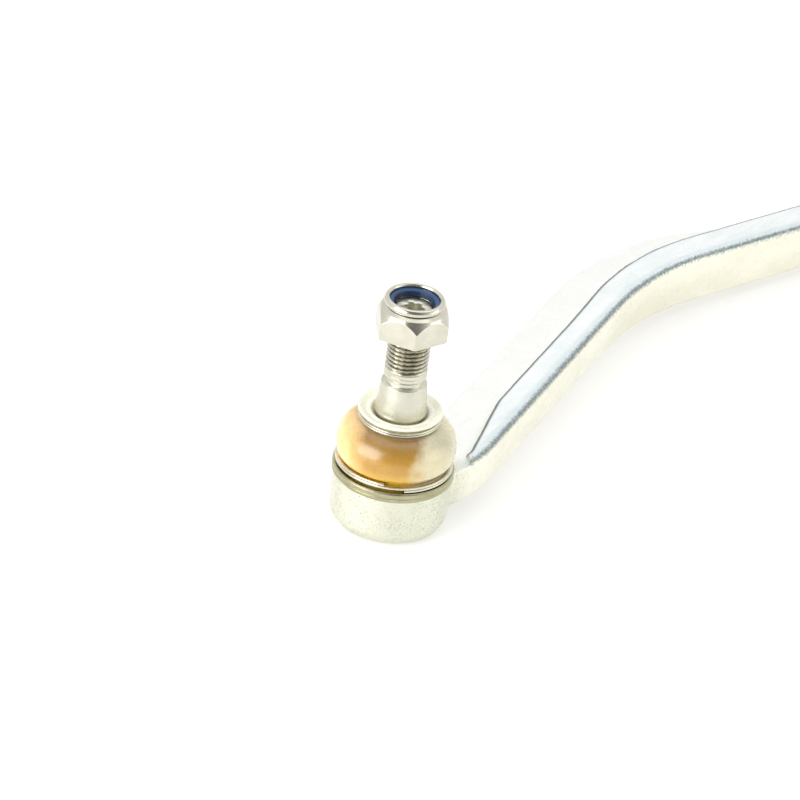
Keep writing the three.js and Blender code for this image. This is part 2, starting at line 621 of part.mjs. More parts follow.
// A flat wire wound in turns that lie on each other, its two ends cut square.
function wireRing(name, innerRadius, outerRadius, bottom, wireHeight, startAngle) {
  const pitch = wireHeight + WIRE_SPACING;
  const steps = Math.round(ROUND * RING_TURNS);
  const rings = [];
  for (let step = 0; step <= steps; step += 1) {
    const angle = startAngle + (TURN * RING_TURNS * step) / steps;
    const low = bottom + (pitch * RING_TURNS * step) / steps;
    const section = [
      [innerRadius, low],
      [innerRadius, low + wireHeight],
      [outerRadius, low + wireHeight],
      [outerRadius, low],
    ];
    rings.push(section.map(([radius, z]) => [radius * Math.cos(angle), radius * Math.sin(angle), z]));
  }
  return mesh(name, lofted(rings), 0xb9b79a, 0.3, 0.9);
}

function baseRing() {
  const inner = BOOT_FOOT_RADIUS + GAP;
  const outer = inner + BASE_WIRE_WIDTH;
  return wireRing('boot_base_ring', inner, outer, BASE_RING_BOTTOM, BASE_WIRE_HEIGHT, BASE_WIRE_START);
}

function topRing() {
  const inner = BOOT_NECK_RADIUS + GAP;
  const outer = inner + TOP_WIRE_WIDTH;
  return wireRing('boot_top_ring', inner, outer, TOP_RING_BOTTOM, TOP_WIRE_HEIGHT, TOP_WIRE_START);
}

// The gaiter: a foot gripped by the base ring, a bulb, and a neck gripped by the top ring.
function boot() {
  const rise = BOOT_SHOULDER_HEIGHT - BOOT_BULB_HEIGHT;
  const dome = (inset, from, to, steps) => Array.from({ length: steps + 1 }, (_, step) => {
    const angle = from + ((to - from) * step) / steps;
    return [
      BOOT_NECK_RADIUS + (BOOT_BULB_RADIUS - BOOT_NECK_RADIUS - inset) * Math.cos(angle),
      BOOT_BULB_HEIGHT + (rise - inset) * Math.sin(angle),
    ];
  });
  const footInner = COLLAR_RADIUS + GAP;
  const neckInner = NECK_RADIUS + GAP;
  const outline = [
    [footInner, BASE_RING_BOTTOM],
    [BOOT_FOOT_RADIUS, BASE_RING_BOTTOM],
    [BOOT_FOOT_RADIUS, BOOT_BULB_BOTTOM],
    [BOOT_FOOT_RADIUS + BOOT_BULB_FLAT, BOOT_BULB_BOTTOM],
    ...dome(0, -BOOT_TUCK_ANGLE, TURN / 4, 9),
    [BOOT_NECK_RADIUS, BOOT_LIP_BOTTOM],
    [BOOT_LIP_RADIUS, BOOT_LIP_BOTTOM],
    [BOOT_LIP_RADIUS, BOOT_TOP - BOOT_EDGE],
    [BOOT_LIP_RADIUS - BOOT_EDGE, BOOT_TOP],
    [BOOT_MOUTH_RADIUS + BOOT_EDGE, BOOT_TOP],
    [BOOT_MOUTH_RADIUS, BOOT_TOP - BOOT_EDGE],
    [neckInner, BOOT_SHOULDER_HEIGHT],
    [neckInner, BOOT_SHOULDER_HEIGHT - BOOT_WALL],
    ...dome(BOOT_WALL, TURN / 4, -BOOT_INNER_TUCK_ANGLE, 7),
    [footInner, BOOT_BULB_BOTTOM],
  ];
  return mesh('boot', turned(outline), 0xe0a052, 0.35, 0);
}

// ---------------------------------------------------------------- ball stud and nut

function lobeOutline() {
  const steps = 24;
  const middle = (LOBE_OUTER_RADIUS + LOBE_INNER_RADIUS) / 2;
  const swing = (LOBE_OUTER_RADIUS - LOBE_INNER_RADIUS) / 2;
  return Array.from({ length: steps }, (_, step) => {
    const angle = (TURN * step) / steps;
    const radius = middle + swing * Math.cos(6 * angle);
    return [radius * Math.cos(angle), radius * Math.sin(angle)];
  });
}

function ballStud() {
  const neckAngle = Math.acos(NECK_RADIUS / BALL_RADIUS);
  const flatDepth = BALL_RADIUS - BALL_POLE;
  const flatAngle = -Math.asin(flatDepth / BALL_RADIUS);
  const blank = turned([
    [0, BALL_HEIGHT - flatDepth],
    ...arc([0, BALL_HEIGHT], BALL_RADIUS, flatAngle, neckAngle, 14),
    [NECK_RADIUS, FLARE_FOOT],
    [BULGE_RADIUS - BULGE_EDGE, BULGE_FOOT],
    [BULGE_RADIUS, BULGE_HEIGHT],
    [TAPER_BOTTOM_RADIUS, TAPER_BOTTOM],
    [TAPER_TOP_RADIUS, TAPER_TOP - TAPER_BEVEL],
    [TAPER_TOP_RADIUS - TAPER_BEVEL, TAPER_TOP],
    [GROOVE_RADIUS, TAPER_TOP],
    [GROOVE_RADIUS, GROOVE_TOP - GROOVE_BEVEL],
    [THREAD_RADIUS, GROOVE_TOP],
    [THREAD_RADIUS, THREAD_BOTTOM],
    [0, THREAD_BOTTOM],
  ]);
  const core = THREAD_RADIUS - THREAD_DEPTH;
  const rim = STUD_TOP - STUD_TIP_BEVEL;
  const thread = turned([
    [0, THREAD_BOTTOM - OVERLAP],
    [core, THREAD_BOTTOM - OVERLAP],
    ...threadOutline(THREAD_RADIUS, THREAD_PITCH, THREAD_BOTTOM, rim),
    [core, rim],
    [core - STUD_TIP_BEVEL / 2, STUD_TOP],
    [0, STUD_TOP],
  ], THREAD_ROUND);
  const recess = prism(lobeOutline(), STUD_TOP - LOBE_DEPTH, STUD_TOP + CUT_PAST);
  return mesh('ball_stud', blank.add(thread).subtract(recess), 0xb5b2a2, 0.35, 0.85);
}

// A hexagon whose corners are turned off at a cone above and below, with a countersunk bore.
function hexBlank(acrossFlats, height, bore, turn, topAngle, bottomAngle) {
  const corner = acrossFlats / Math.sqrt(3);
  const flat = acrossFlats / 2 - HEX_CHAMFER_INSET;
  const drop = (angle) => Math.min(height / 2, (corner - flat) * Math.tan(angle));
  const cone = turned([
    [0, 0],
    [flat, 0],
    [corner, drop(bottomAngle)],
    [corner, height - drop(topAngle)],
    [flat, height],
    [0, height],
  ], 2 * ROUND);
  const hole = turned([
    [0, -CUT_PAST],
    [bore + COUNTERSINK + CUT_PAST, -CUT_PAST],
    [bore, COUNTERSINK],
    [bore, height + CUT_PAST],
    [0, height + CUT_PAST],
  ]);
  return prism(hexagon(acrossFlats, turn), 0, height).intersect(cone).subtract(hole);
}

function lockNut() {
  const coneTop = NUT_HEX_HEIGHT + NUT_CONE_HEIGHT;
  const hex = hexBlank(NUT_ACROSS_FLATS, NUT_HEX_HEIGHT, NUT_BORE, NUT_TURN, NUT_CHAMFER_ANGLE, 0);
  const collar = turned([
    [NUT_BORE, NUT_HEX_HEIGHT - OVERLAP],
    [NUT_CONE_RADIUS, NUT_HEX_HEIGHT - OVERLAP],
    [NUT_CONE_RADIUS, NUT_HEX_HEIGHT],
    [NUT_CREASE_RADIUS, coneTop],
    [NUT_LIP_RADIUS, coneTop + NUT_LIP_FLARE_HEIGHT],
    [NUT_LIP_RADIUS, NUT_HEIGHT - NUT_LIP_BEVEL],
    [NUT_LIP_RADIUS - NUT_LIP_BEVEL, NUT_HEIGHT],
    [NUT_OPENING_RADIUS + NUT_OPENING_BEVEL, NUT_HEIGHT],
    [NUT_OPENING_RADIUS, NUT_HEIGHT - NUT_OPENING_BEVEL],
    [NUT_OPENING_RADIUS, NUT_HEIGHT - NUT_LIP_THICKNESS],
    [NUT_BORE, NUT_HEIGHT - NUT_LIP_THICKNESS],
  ]);
  const pocket = turned([
    [0, POCKET_BOTTOM],
    [POCKET_RADIUS, POCKET_BOTTOM],
    [POCKET_RADIUS, NUT_HEIGHT - NUT_LIP_THICKNESS],
    [0, NUT_HEIGHT - NUT_LIP_THICKNESS],
  ]);
  const nut = mesh('lock_nut', hex.add(collar).subtract(pocket), 0xd4cfc0, 0.32, 0.85);
  nut.position.z = NUT_SEAT;
  return nut;
}

function nutInsert() {
  const ring = turned([
    [INSERT_INNER_RADIUS + INSERT_BEVEL, 0],
    [INSERT_OUTER_RADIUS, 0],
    [INSERT_OUTER_RADIUS, INSERT_HEIGHT - INSERT_BEVEL],
    [INSERT_OUTER_RADIUS - INSERT_BEVEL, INSERT_HEIGHT],
    [INSERT_INNER_RADIUS + INSERT_BEVEL, INSERT_HEIGHT],
    [INSERT_INNER_RADIUS, INSERT_HEIGHT - INSERT_BEVEL],
    [INSERT_INNER_RADIUS, INSERT_BEVEL],
  ]);
  const insert = mesh('nut_insert', ring, 0x2f6fb4, 0.45, 0);
  insert.position.z = NUT_SEAT + INSERT_BOTTOM;
  return insert;
}

// ---------------------------------------------------------------- jam nut and washer

function onShank(part, along) {
  part.rotation.y = Math.PI / 2;
  part.position.set(along, 0, ARM_MIDDLE);
  return part;
}

function jamNut() {
  const angle = JAM_CHAMFER_ANGLE;
  const blank = hexBlank(JAM_ACROSS_FLATS, JAM_HEIGHT, JAM_BORE, TURN / 12, angle, angle);
  return onShank(mesh('jam_nut', blank, 0xd0cdbf, 0.4, 0.85), JAM_POSITION);
}

function lockWasher() {
  const ring = turned([
    [JAM_BORE, 0],
    [JAM_BORE + WASHER_WIDTH, 0],
    [JAM_BORE + WASHER_WIDTH, WASHER_THICKNESS],
    [JAM_BORE, WASHER_THICKNESS],
  ]);
  return onShank(mesh('shank_washer', ring, 0xbfbfb4, 0.4, 0.85), JAM_POSITION + JAM_HEIGHT + GAP);
}

// ---------------------------------------------------------------- assembly

const group = new THREE.Group();
group.add(
  forgedBody(),
  closingPlate(),
  preloadSpring(),
  lowerSeat(),
  upperSeat(),
  boot(),
  baseRing(),
  topRing(),
  ballStud(),
  lockNut(),
  nutInsert(),
  jamNut(),
  lockWasher(),
);

export default group;
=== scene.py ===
import json
from math import acos, asin, atan2, ceil, cos, hypot, pi, radians, sin, tan

import bpy
import numpy as np
from mathutils import Matrix, Vector, noise


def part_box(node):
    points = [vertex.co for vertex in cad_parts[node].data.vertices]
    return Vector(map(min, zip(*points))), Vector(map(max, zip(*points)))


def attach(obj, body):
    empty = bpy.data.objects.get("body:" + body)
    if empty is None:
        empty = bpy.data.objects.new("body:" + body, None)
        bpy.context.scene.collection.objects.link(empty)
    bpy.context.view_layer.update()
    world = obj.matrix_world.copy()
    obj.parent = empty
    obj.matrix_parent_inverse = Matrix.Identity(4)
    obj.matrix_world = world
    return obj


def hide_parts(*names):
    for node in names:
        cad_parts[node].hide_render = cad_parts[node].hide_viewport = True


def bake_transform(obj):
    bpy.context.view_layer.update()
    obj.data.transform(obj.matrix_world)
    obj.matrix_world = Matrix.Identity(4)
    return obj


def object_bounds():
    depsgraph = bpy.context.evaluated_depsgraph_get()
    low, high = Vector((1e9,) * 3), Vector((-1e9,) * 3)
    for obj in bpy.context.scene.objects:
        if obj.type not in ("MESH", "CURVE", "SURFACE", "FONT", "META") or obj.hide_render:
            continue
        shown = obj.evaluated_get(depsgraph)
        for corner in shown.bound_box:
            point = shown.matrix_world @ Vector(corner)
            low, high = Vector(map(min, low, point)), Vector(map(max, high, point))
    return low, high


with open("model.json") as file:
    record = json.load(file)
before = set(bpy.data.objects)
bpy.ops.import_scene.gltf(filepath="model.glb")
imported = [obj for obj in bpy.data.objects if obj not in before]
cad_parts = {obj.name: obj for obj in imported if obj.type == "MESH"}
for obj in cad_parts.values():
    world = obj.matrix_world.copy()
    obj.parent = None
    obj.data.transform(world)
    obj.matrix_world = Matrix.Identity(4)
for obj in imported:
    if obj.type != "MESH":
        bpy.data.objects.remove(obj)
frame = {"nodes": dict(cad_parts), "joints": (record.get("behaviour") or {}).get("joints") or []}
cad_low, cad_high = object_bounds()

# A steering tie rod end: forged arm with a ball joint, its gaiter, lock nut and threaded shank.
# Lengths are in millimetres up to build(), which writes metres.
MM = 0.001
TURN = 2 * pi

# ------------------------------------------------------------------ sizes taken from the frame


def extent(node):
    """Lowest and highest corner of a CAD node, in millimetres."""
    low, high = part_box(node)
    return low / MM, high / MM


BODY_HIGH = extent("forged_body")[1]
PLATE_HIGH = extent("closing_plate")[1]
BOOT_LOW, BOOT_HIGH = extent("boot")
BASE_RING_HIGH = extent("boot_base_ring")[1]
TOP_RING_LOW, TOP_RING_HIGH = extent("boot_top_ring")
STUD_HIGH = extent("ball_stud")[1]
NUT_LOW, NUT_HIGH = extent("lock_nut")
INSERT_LOW, INSERT_HIGH = extent("nut_insert")
JAM_LOW, JAM_HIGH = extent("jam_nut")
WASHER_LOW, WASHER_HIGH = extent("shank_washer")
BALL_CENTRE = Vector(next(j for j in frame["joints"] if j["name"] == "swing_x")["pos_m"]) / MM

# ------------------------------------------------------------------ sizes of the forging
HOUSING_RADIUS = 19.3
HOUSING_CHAMFER = (1.5, 2.9)  # width and height
SHOULDER_RADIUS = 20
SHOULDER_BOTTOM = 17.1
SHOULDER_TOP = 20.7
COLLAR_RADIUS = 16
COLLAR_TOP = 25
LIP_THICKNESS = 3.2
BORE_RADIUS = 14.2
CRIMP_RADIUS = 14.4
CRIMP_TOP = 1.4
PLATE_BORE = 15.6
PLATE_LEDGE = 3.5
ARM_START = (9, -15.8)
CRANK_POINT = (168.5, 28.2)
CRANK_RADIUS = 112
SHANK_POINT = (294.7, 0)
SHANK_BEND_RADIUS = 90
ARM_MIDDLE = 12.75
ARM_ROOT = (11.2, 14.5)  # width and height beside the housing
ARM_CRANK = (14, 18.5)  # and at the crank
ARM_DRAFT = 0.5
NEAR_EDGE_RADIUS = 2.2
EDGE_RADIUS = 0.8
ROOT_SWEEP_RADIUS = 50
ROOT_SWEEP_START = 34
ROOT_TAPER = 5.4
ROOT_TAPER_START = 60
FACING_RADIUS = 26.5
FACING_HEIGHT = 18.4
WEB_OVERHANG = 13.4
WEB_THICKNESS = 6
WEB_RUNOUT = 70
WEB_FILLET = 2.6
SHANK_RADIUS = 8
SHANK_THREAD_START = 316
SHANK_BLEND = (262, 300)
THREAD_PITCH = 1.5
THREAD_DEPTH = 0.92
THREAD_STEPS = 14  # rows in each turn of a thread

# ------------------------------------------------------------------ sizes of the other pieces
BALL_RADIUS = 12
BALL_SOLE_RADIUS = 9  # of the flat under the ball
STUD_NECK_RADIUS = 6.5
STUD_NECK_TOP = 37.2
BULGE_RADIUS = 8.567
TAPER_LOW, TAPER_HIGH = 41.8, 52.2
TAPER_LOW_RADIUS, TAPER_HIGH_RADIUS = 8.367, 7.5
UNDERCUT_RADIUS = 6.2
STUD_THREAD_RADIUS = 7
STUD_THREAD_START = 57.1
LOBE_REACH, LOBE_WAIST = 3.35, 2.4
LOCK_NUT_FLATS = 22
LOCK_NUT_HEX = 9.2  # height of the hexagon under the collar
LOCK_NUT_TURN = radians(45.5)
LOCK_NUT_SLOPE = tan(radians(60))
LOCK_NUT_BORE = 7.35
LOCK_NUT_POCKET = 8.65
LOCK_NUT_OPENING = 8.1
JAM_NUT_FLATS = 24
JAM_NUT_SLOPE = 0.577
SHANK_CLEARANCE = 0.35
PLATE_THICKNESS = 1.5
PLATE_BOSS_RADIUS = 11.5
RING_TURNS = 1.944
BASE_WIRE, TOP_WIRE = 0.8, 0.65
BASE_WIRE_BORE, TOP_WIRE_BORE = 17.5, 11.9
BASE_WIRE_START, TOP_WIRE_START = radians(230), 1.2
BOOT_WALL = 1.6

# ------------------------------------------------------------------ mesh helpers


def blend_of(value, start, end):
    share = min(1, max(0, (value - start) / (end - start)))
    return share * share * (3 - 2 * share)


def mix(a, b, share):
    return a + (b - a) * share


def skin(rings, loop=False):
    """Vertices and faces over rings of equally many points. A loop of rings closes on itself,
    and an open run of rings is closed by a fan at each end."""
    rings = np.asarray(rings, float)
    count, size = rings.shape[:2]
    vertices = rings.reshape(-1, 3)
    index = np.arange(size)
    following = (index + 1) % size
    faces = []
    for ring in range(count if loop else count - 1):
        here, there = ring * size, (ring + 1) % count * size
        faces += np.stack(
            [here + index, here + following, there + following, there + index], 1
        ).tolist()
    if not loop:
        vertices = np.vstack([vertices, rings[0].mean(0), rings[-1].mean(0)])
        first, last = count * size, count * size + 1
        faces += [[first, int(j), int(i)] for i, j in zip(index, following)]
        top = (count - 1) * size
        faces += [[last, int(top + i), int(top + j)] for i, j in zip(index, following)]
    return vertices, faces


def signed_volume(vertices, faces):
    total = 0
    for face in faces:
        a = vertices[face[0]]
        for i in range(1, len(face) - 1):
            total += np.dot(a, np.cross(vertices[face[i]], vertices[face[i + 1]]))
    return total


def build(name, shape, sharp=35):
    """A mesh object from vertices in millimetres, its faces turned outwards and smooth."""
    vertices, faces = shape
    if signed_volume(vertices, faces[:: max(1, len(faces) // 4000)]) < 0:
        faces = [face[::-1] for face in faces]
    data = bpy.data.meshes.new(name)
    data.from_pydata((np.asarray(vertices) * MM).tolist(), [], faces)
    data.update()
    made = bpy.data.objects.new(name, data)
    bpy.context.scene.collection.objects.link(made)
    soften(made, sharp)
    return made


def soften(made, sharp=35):
    made.data.shade_smooth()
    made.data.set_sharp_from_angle(angle=radians(sharp))


def finish_piece(made, material, body, slot, *replaced):
    made.data.materials.clear()
    made.data.materials.append(material)
    if body:
        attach(made, body)
    if replaced:
        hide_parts(*replaced)
    return made


def rounded(corners, steps=5, closed=True):
    """An outline's points from (radius, height[, fillet]) corners, each turned by its fillet."""
    points = []
    count = len(corners)
    for index, corner in enumerate(corners):
        here = np.array(corner[:2], float)
        fillet = corner[2] if len(corner) > 2 else 0
        inner = closed or 0 < index < count - 1
        if not fillet or not inner:
            points.append(here)
            continue
        back = np.array(corners[index - 1][:2], float) - here
        on = np.array(corners[(index + 1) % count][:2], float) - here
        reach = 0.49 * min(np.linalg.norm(back), np.linalg.norm(on))
        back, on = back / np.linalg.norm(back), on / np.linalg.norm(on)
        half = acos(np.clip(back @ on, -1, 1)) / 2
        cut = min(fillet / tan(half), reach)
        radius = cut * tan(half)
        middle = here + (back + on) / np.linalg.norm(back + on) * radius / sin(half)
        start, end = here + back * cut - middle, here + on * cut - middle
        spread = acos(np.clip(start @ end / radius**2, -1, 1))
        for step in range(steps + 1):
            share = step / steps
            turned = (
                sin((1 - share) * spread) * start + sin(share * spread) * end
            ) / sin(spread)
            points.append(middle + turned)
    return points


def arc(centre, radius, start, end, steps):
    return [
        (centre[0] + radius * cos(a), centre[1] + radius * sin(a))
        for a in np.linspace(start, end, steps + 1)
    ]


def around(count):
    return np.arange(count) * TURN / count


def turned(outline, segments=160):
    """A solid of revolution about Z. An outline that starts on the axis also ends on it."""
    angles = around(segments)
    loop = outline[0][0] > 0
    points = outline if loop else outline[1:-1]
    rings = [
        np.stack([r * np.cos(angles), r * np.sin(angles), np.full(segments, z)], 1)
        for r, z in points
    ]
    vertices, faces = skin(rings, loop)
    if not loop:
        vertices[-2][2], vertices[-1][2] = outline[0][1], outline[-1][1]
    return vertices, faces


def swept(rows, segments, loop=True):
    """Like turned(), with a radius for every angle: rows of (radii, height)."""
    angles = around(segments)
    rings = [
        np.stack([r * np.cos(angles), r * np.sin(angles), np.full(segments, float(z))], 1)
        for r, z in rows
    ]
    return skin(rings, loop)


def along_x(shape, start):
    """Lays a shape that was made about Z down along the shank, its foot at start."""
    vertices, faces = shape
    x, y, z = vertices.T
    return np.stack([z + start, y, ARM_MIDDLE - x], 1), faces


def merged(*shapes):
    vertices, faces, offset = [], [], 0
    for points, quads in shapes:
        vertices.append(points)
        faces += [[i + offset for i in face] for face in quads]
        offset += len(points)
    return np.vstack(vertices), faces


def applied(made):
    """Turns an object's modifiers into its mesh."""
    graph = bpy.context.evaluated_depsgraph_get()
    data = bpy.data.meshes.new_from_object(made.evaluated_get(graph))
    made.modifiers.clear()
    old, made.data = made.data, data
    bpy.data.meshes.remove(old)
    data.name = made.name
    return made


def cut(made, cutter):
    tool = build("cutter", cutter)
    change = made.modifiers.new("cut", "BOOLEAN")
    change.operation, change.solver, change.object = "DIFFERENCE", "MANIFOLD", tool
    applied(made)
    bpy.data.objects.remove(tool)


# ------------------------------------------------------------------ materials


class Look:
    """A Principled material with procedural layers, placed by the object's own coordinates."""

    def __init__(self, name, attribute=None, **fixed):
        self.material = bpy.data.materials.new(name)
        self.material.use_nodes = True
        self.tree = self.material.node_tree
        self.tree.nodes.clear()
        self.shader = self.add("BsdfPrincipled")
        output = self.add("OutputMaterial")
        self.tree.links.new(self.shader.outputs[0], output.inputs[0])
        for socket, value in fixed.items():
            self.shader.inputs[socket.replace("_", " ")].default_value = value
        if attribute:
            self.place = self.add("Attribute", attribute_name=attribute).outputs["Vector"]
        else:
            self.place = self.add("TexCoord").outputs["Object"]

    def add(self, kind, **settings):
        node = self.tree.nodes.new("ShaderNode" + kind)
        for key, value in settings.items():
            setattr(node, key, value)
        return node

    def feed(self, socket, value):
        if isinstance(value, bpy.types.NodeSocket):
            self.tree.links.new(value, socket)
        else:
            socket.default_value = value

    def stretched(self, stretch, shift=(0, 0, 0)):
        """The place on the object, scaled along each axis and then moved."""
        node = self.add("Mapping")
        self.feed(node.inputs["Vector"], self.place)
        node.inputs["Scale"].default_value = stretch
        node.inputs["Location"].default_value = shift
        return node.outputs[0]

    def noise(self, scale, detail=3, rough=0.5, stretch=None):
        node = self.add("TexNoise")
        self.feed(node.inputs["Vector"], self.stretched(stretch) if stretch else self.place)
        node.inputs["Scale"].default_value = scale
        node.inputs["Detail"].default_value = detail
        node.inputs["Roughness"].default_value = rough
        return node.outputs["Fac"]

    def span(self, value, low, high, to_low=0.0, to_high=1.0):
        """Carries a value from one range to another, and stops at its ends."""
        node = self.add("MapRange")
        for socket, given in zip(node.inputs, (value, low, high, to_low, to_high)):
            self.feed(socket, given)
        return node.outputs[0]

    def sum(self, a, b, operation="ADD"):
        """The sum of two values, or what another operation makes of them."""
        node = self.add("Math", operation=operation)
        self.feed(node.inputs[0], a)
        self.feed(node.inputs[1], b)
        return node.outputs[0]

    def times(self, a, b):
        return self.sum(a, b, "MULTIPLY")

    def tint(self, share, a, b):
        """One colour carried towards another by a share."""
        node = self.add("Mix", data_type="RGBA")
        self.feed(node.inputs["Factor"], share)
        for socket, colour in ((node.inputs[6], a), (node.inputs[7], b)):
            self.feed(socket, (*colour, 1) if isinstance(colour, tuple) else colour)
        return node.outputs[2]

    def axis(self, name):
        node = self.add("SeparateXYZ")
        self.feed(node.inputs[0], self.place)
        return node.outputs[name]

    def from_axis(self, along_shank=False):
        """Distance from the stud's axis or from the shank's, in metres."""
        node = self.add("VectorMath", operation="LENGTH")
        place = (
            self.stretched((0, 1, 1), (0, 0, -ARM_MIDDLE * MM))
            if along_shank
            else self.stretched((1, 1, 0))
        )
        self.feed(node.inputs[0], place)
        return node.outputs["Value"]

    def colour(self, value):
        self.feed(self.shader.inputs["Base Color"], value)

    def roughness(self, value):
        self.feed(self.shader.inputs["Roughness"], value)

    def bumps(self, *layers):
        """Relief from (height, depth in millimetres) layers."""
        normal = None
        for height, depth in layers:
            node = self.add("Bump")
            node.inputs["Strength"].default_value = 1
            node.inputs["Distance"].default_value = depth * MM
            self.feed(node.inputs["Height"], height)
            if normal:
                self.feed(node.inputs["Normal"], normal)
            normal = node.outputs[0]
        self.feed(self.shader.inputs["Normal"], normal)


def per_mm(features):
    """Noise scale for that many features to a millimetre."""
    return features / MM


def zinc_forging():
    look = Look("zinc_forging", attribute="painted_light_marks", Metallic=0.92)
    # the attribute carries painted light: X a shade line on the rib's sharp inner edge, Y a shade
    # band on its rounded outer edge, Z the web's paler tone
    edge, near, web = look.axis("X"), look.axis("Y"), look.axis("Z")
    # painted reflection: faces turned up are painted a pale blue-white sky reflection, faces
    # turned sideways a cream tone
    frame_place = look.add("TexCoord")
    look.place = frame_place.outputs["Normal"]
    painted_top_reflection = look.span(look.axis("Z"), 0.45, 0.9)
    look.place = frame_place.outputs["Object"]
    cloud = look.noise(per_mm(0.06), 5, 0.6, stretch=(0.45, 1, 1))
    streak = look.noise(per_mm(0.5), 4, 0.6, stretch=(0.12, 1, 1))
    grain = look.noise(per_mm(1.1), 4, 0.65)
    fine = look.noise(per_mm(3.2), 3, 0.6)
    blasted = look.span(look.from_axis(), 20.5 * MM, 27 * MM, 1, 0)
    # painted reflection on the faces turned up: pale blue-white, with paler streaks
    top = look.tint(look.span(cloud, 0.35, 0.6), (0.85, 0.92, 0.92), (0.95, 0.98, 0.98))
    top = look.tint(look.times(look.span(streak, 0.4, 0.65), 0.5), top, (1.0, 1.0, 1.0))
    # painted shade: a grey band on the faces turned up, beside the rib's rounded outer edge
    top = look.tint(look.span(near, 0, 0.5, 0, 0.55), top, (0.62, 0.72, 0.75))
    # painted reflection: the web's faces turned up are painted paler
    top = look.tint(web, top, (0.97, 0.98, 0.95))
    side = look.tint(look.span(cloud, 0.35, 0.65), (0.88, 0.86, 0.72), (0.97, 0.95, 0.83))
    dull = look.span(look.noise(per_mm(0.45), 4, 0.7), 0.5, 0.7)
    side = look.tint(look.times(dull, 0.4), side, (0.78, 0.80, 0.74))
    tone = look.tint(painted_top_reflection, side, top)
    tone = look.tint(blasted, tone, (0.79, 0.80, 0.67))
    patchy = look.span(look.noise(per_mm(0.16), 3, 0.5), 0.35, 0.6, 0.25, 1)
    speck = look.times(look.span(look.noise(per_mm(1.9), 5, 0.75), 0.51, 0.62), patchy)
    speck = look.times(speck, look.span(blasted, 0, 1, 0.2, 0.8))
    tone = look.tint(speck, tone, (0.30, 0.31, 0.24))
    # painted shade: a dark band along the rib's rounded outer edge, broken up by noise
    painted_edge_shade = look.sum(near, look.span(grain, 0.3, 0.7, -0.2, 0.15))
    tone = look.tint(look.span(painted_edge_shade, 0.6, 1, 0, 0.85), tone, (0.15, 0.20, 0.21))
    # painted shade: a dark line along the rib's sharp inner edge
    look.colour(look.tint(look.times(edge, 0.9), tone, (0.07, 0.09, 0.09)))
    rough = look.span(streak, 0.3, 0.7, 0.27, 0.42)
    look.roughness(look.sum(rough, look.times(blasted, look.span(fine, 0.3, 0.7, -0.05, 0.12))))
    coarse = look.span(grain, 0.25, 0.75)
    look.bumps(
        (look.times(coarse, look.span(blasted, 0, 1, 0.35, 1.0)), 0.12),
        (look.times(fine, look.span(blasted, 0, 1, 0.3, 1.0)), 0.05),
    )
    return look.material


def turned_metal(name, dark, light, rough, line, metallic=1.0, depth=0.006, flecks=0.35):
    """Metal from a lathe: fine rings about Z, with small flecks."""
    look = Look(name, Metallic=metallic)
    rings = look.noise(per_mm(line), 3, 0.6, stretch=(0.02, 0.02, 1))
    cloud = look.noise(per_mm(0.12), 4, 0.6)
    fleck = look.span(look.noise(per_mm(1.3), 4, 0.7), 0.66, 0.72)
    tone = look.tint(look.span(cloud, 0.3, 0.7), dark, light)
    look.colour(look.tint(look.times(fleck, flecks), tone, tuple(0.45 * c for c in dark)))
    look.roughness(look.span(look.sum(rings, cloud), 0.7, 1.3, rough - 0.07, rough + 0.09))
    look.bumps((rings, depth), (look.noise(per_mm(0.9), 3, 0.6), depth * 0.8))
    return look.material


def thread_steel(name, dark, light, radius, along_shank=False):
    """Rolled thread: bright crests, with painted shade darkening the roots."""
    look = Look(name, Metallic=1.0)
    cloud = look.noise(per_mm(0.5), 4, 0.6)
    crest = look.tint(look.span(cloud, 0.3, 0.7), dark, light)
    # painted shade: the colour darkens from the crests into the roots, by distance from the axis
    wander = look.times(cloud, 0.3 * MM)
    height = look.span(
        look.sum(look.from_axis(along_shank), wander), (radius - 0.58) * MM, (radius - 0.05) * MM
    )
    look.colour(look.tint(height, (0.17, 0.16, 0.115), crest))
    look.roughness(look.span(cloud, 0.3, 0.7, 0.2, 0.32))
    look.bumps((look.noise(per_mm(2.2), 3, 0.6), 0.004))
    return look.material


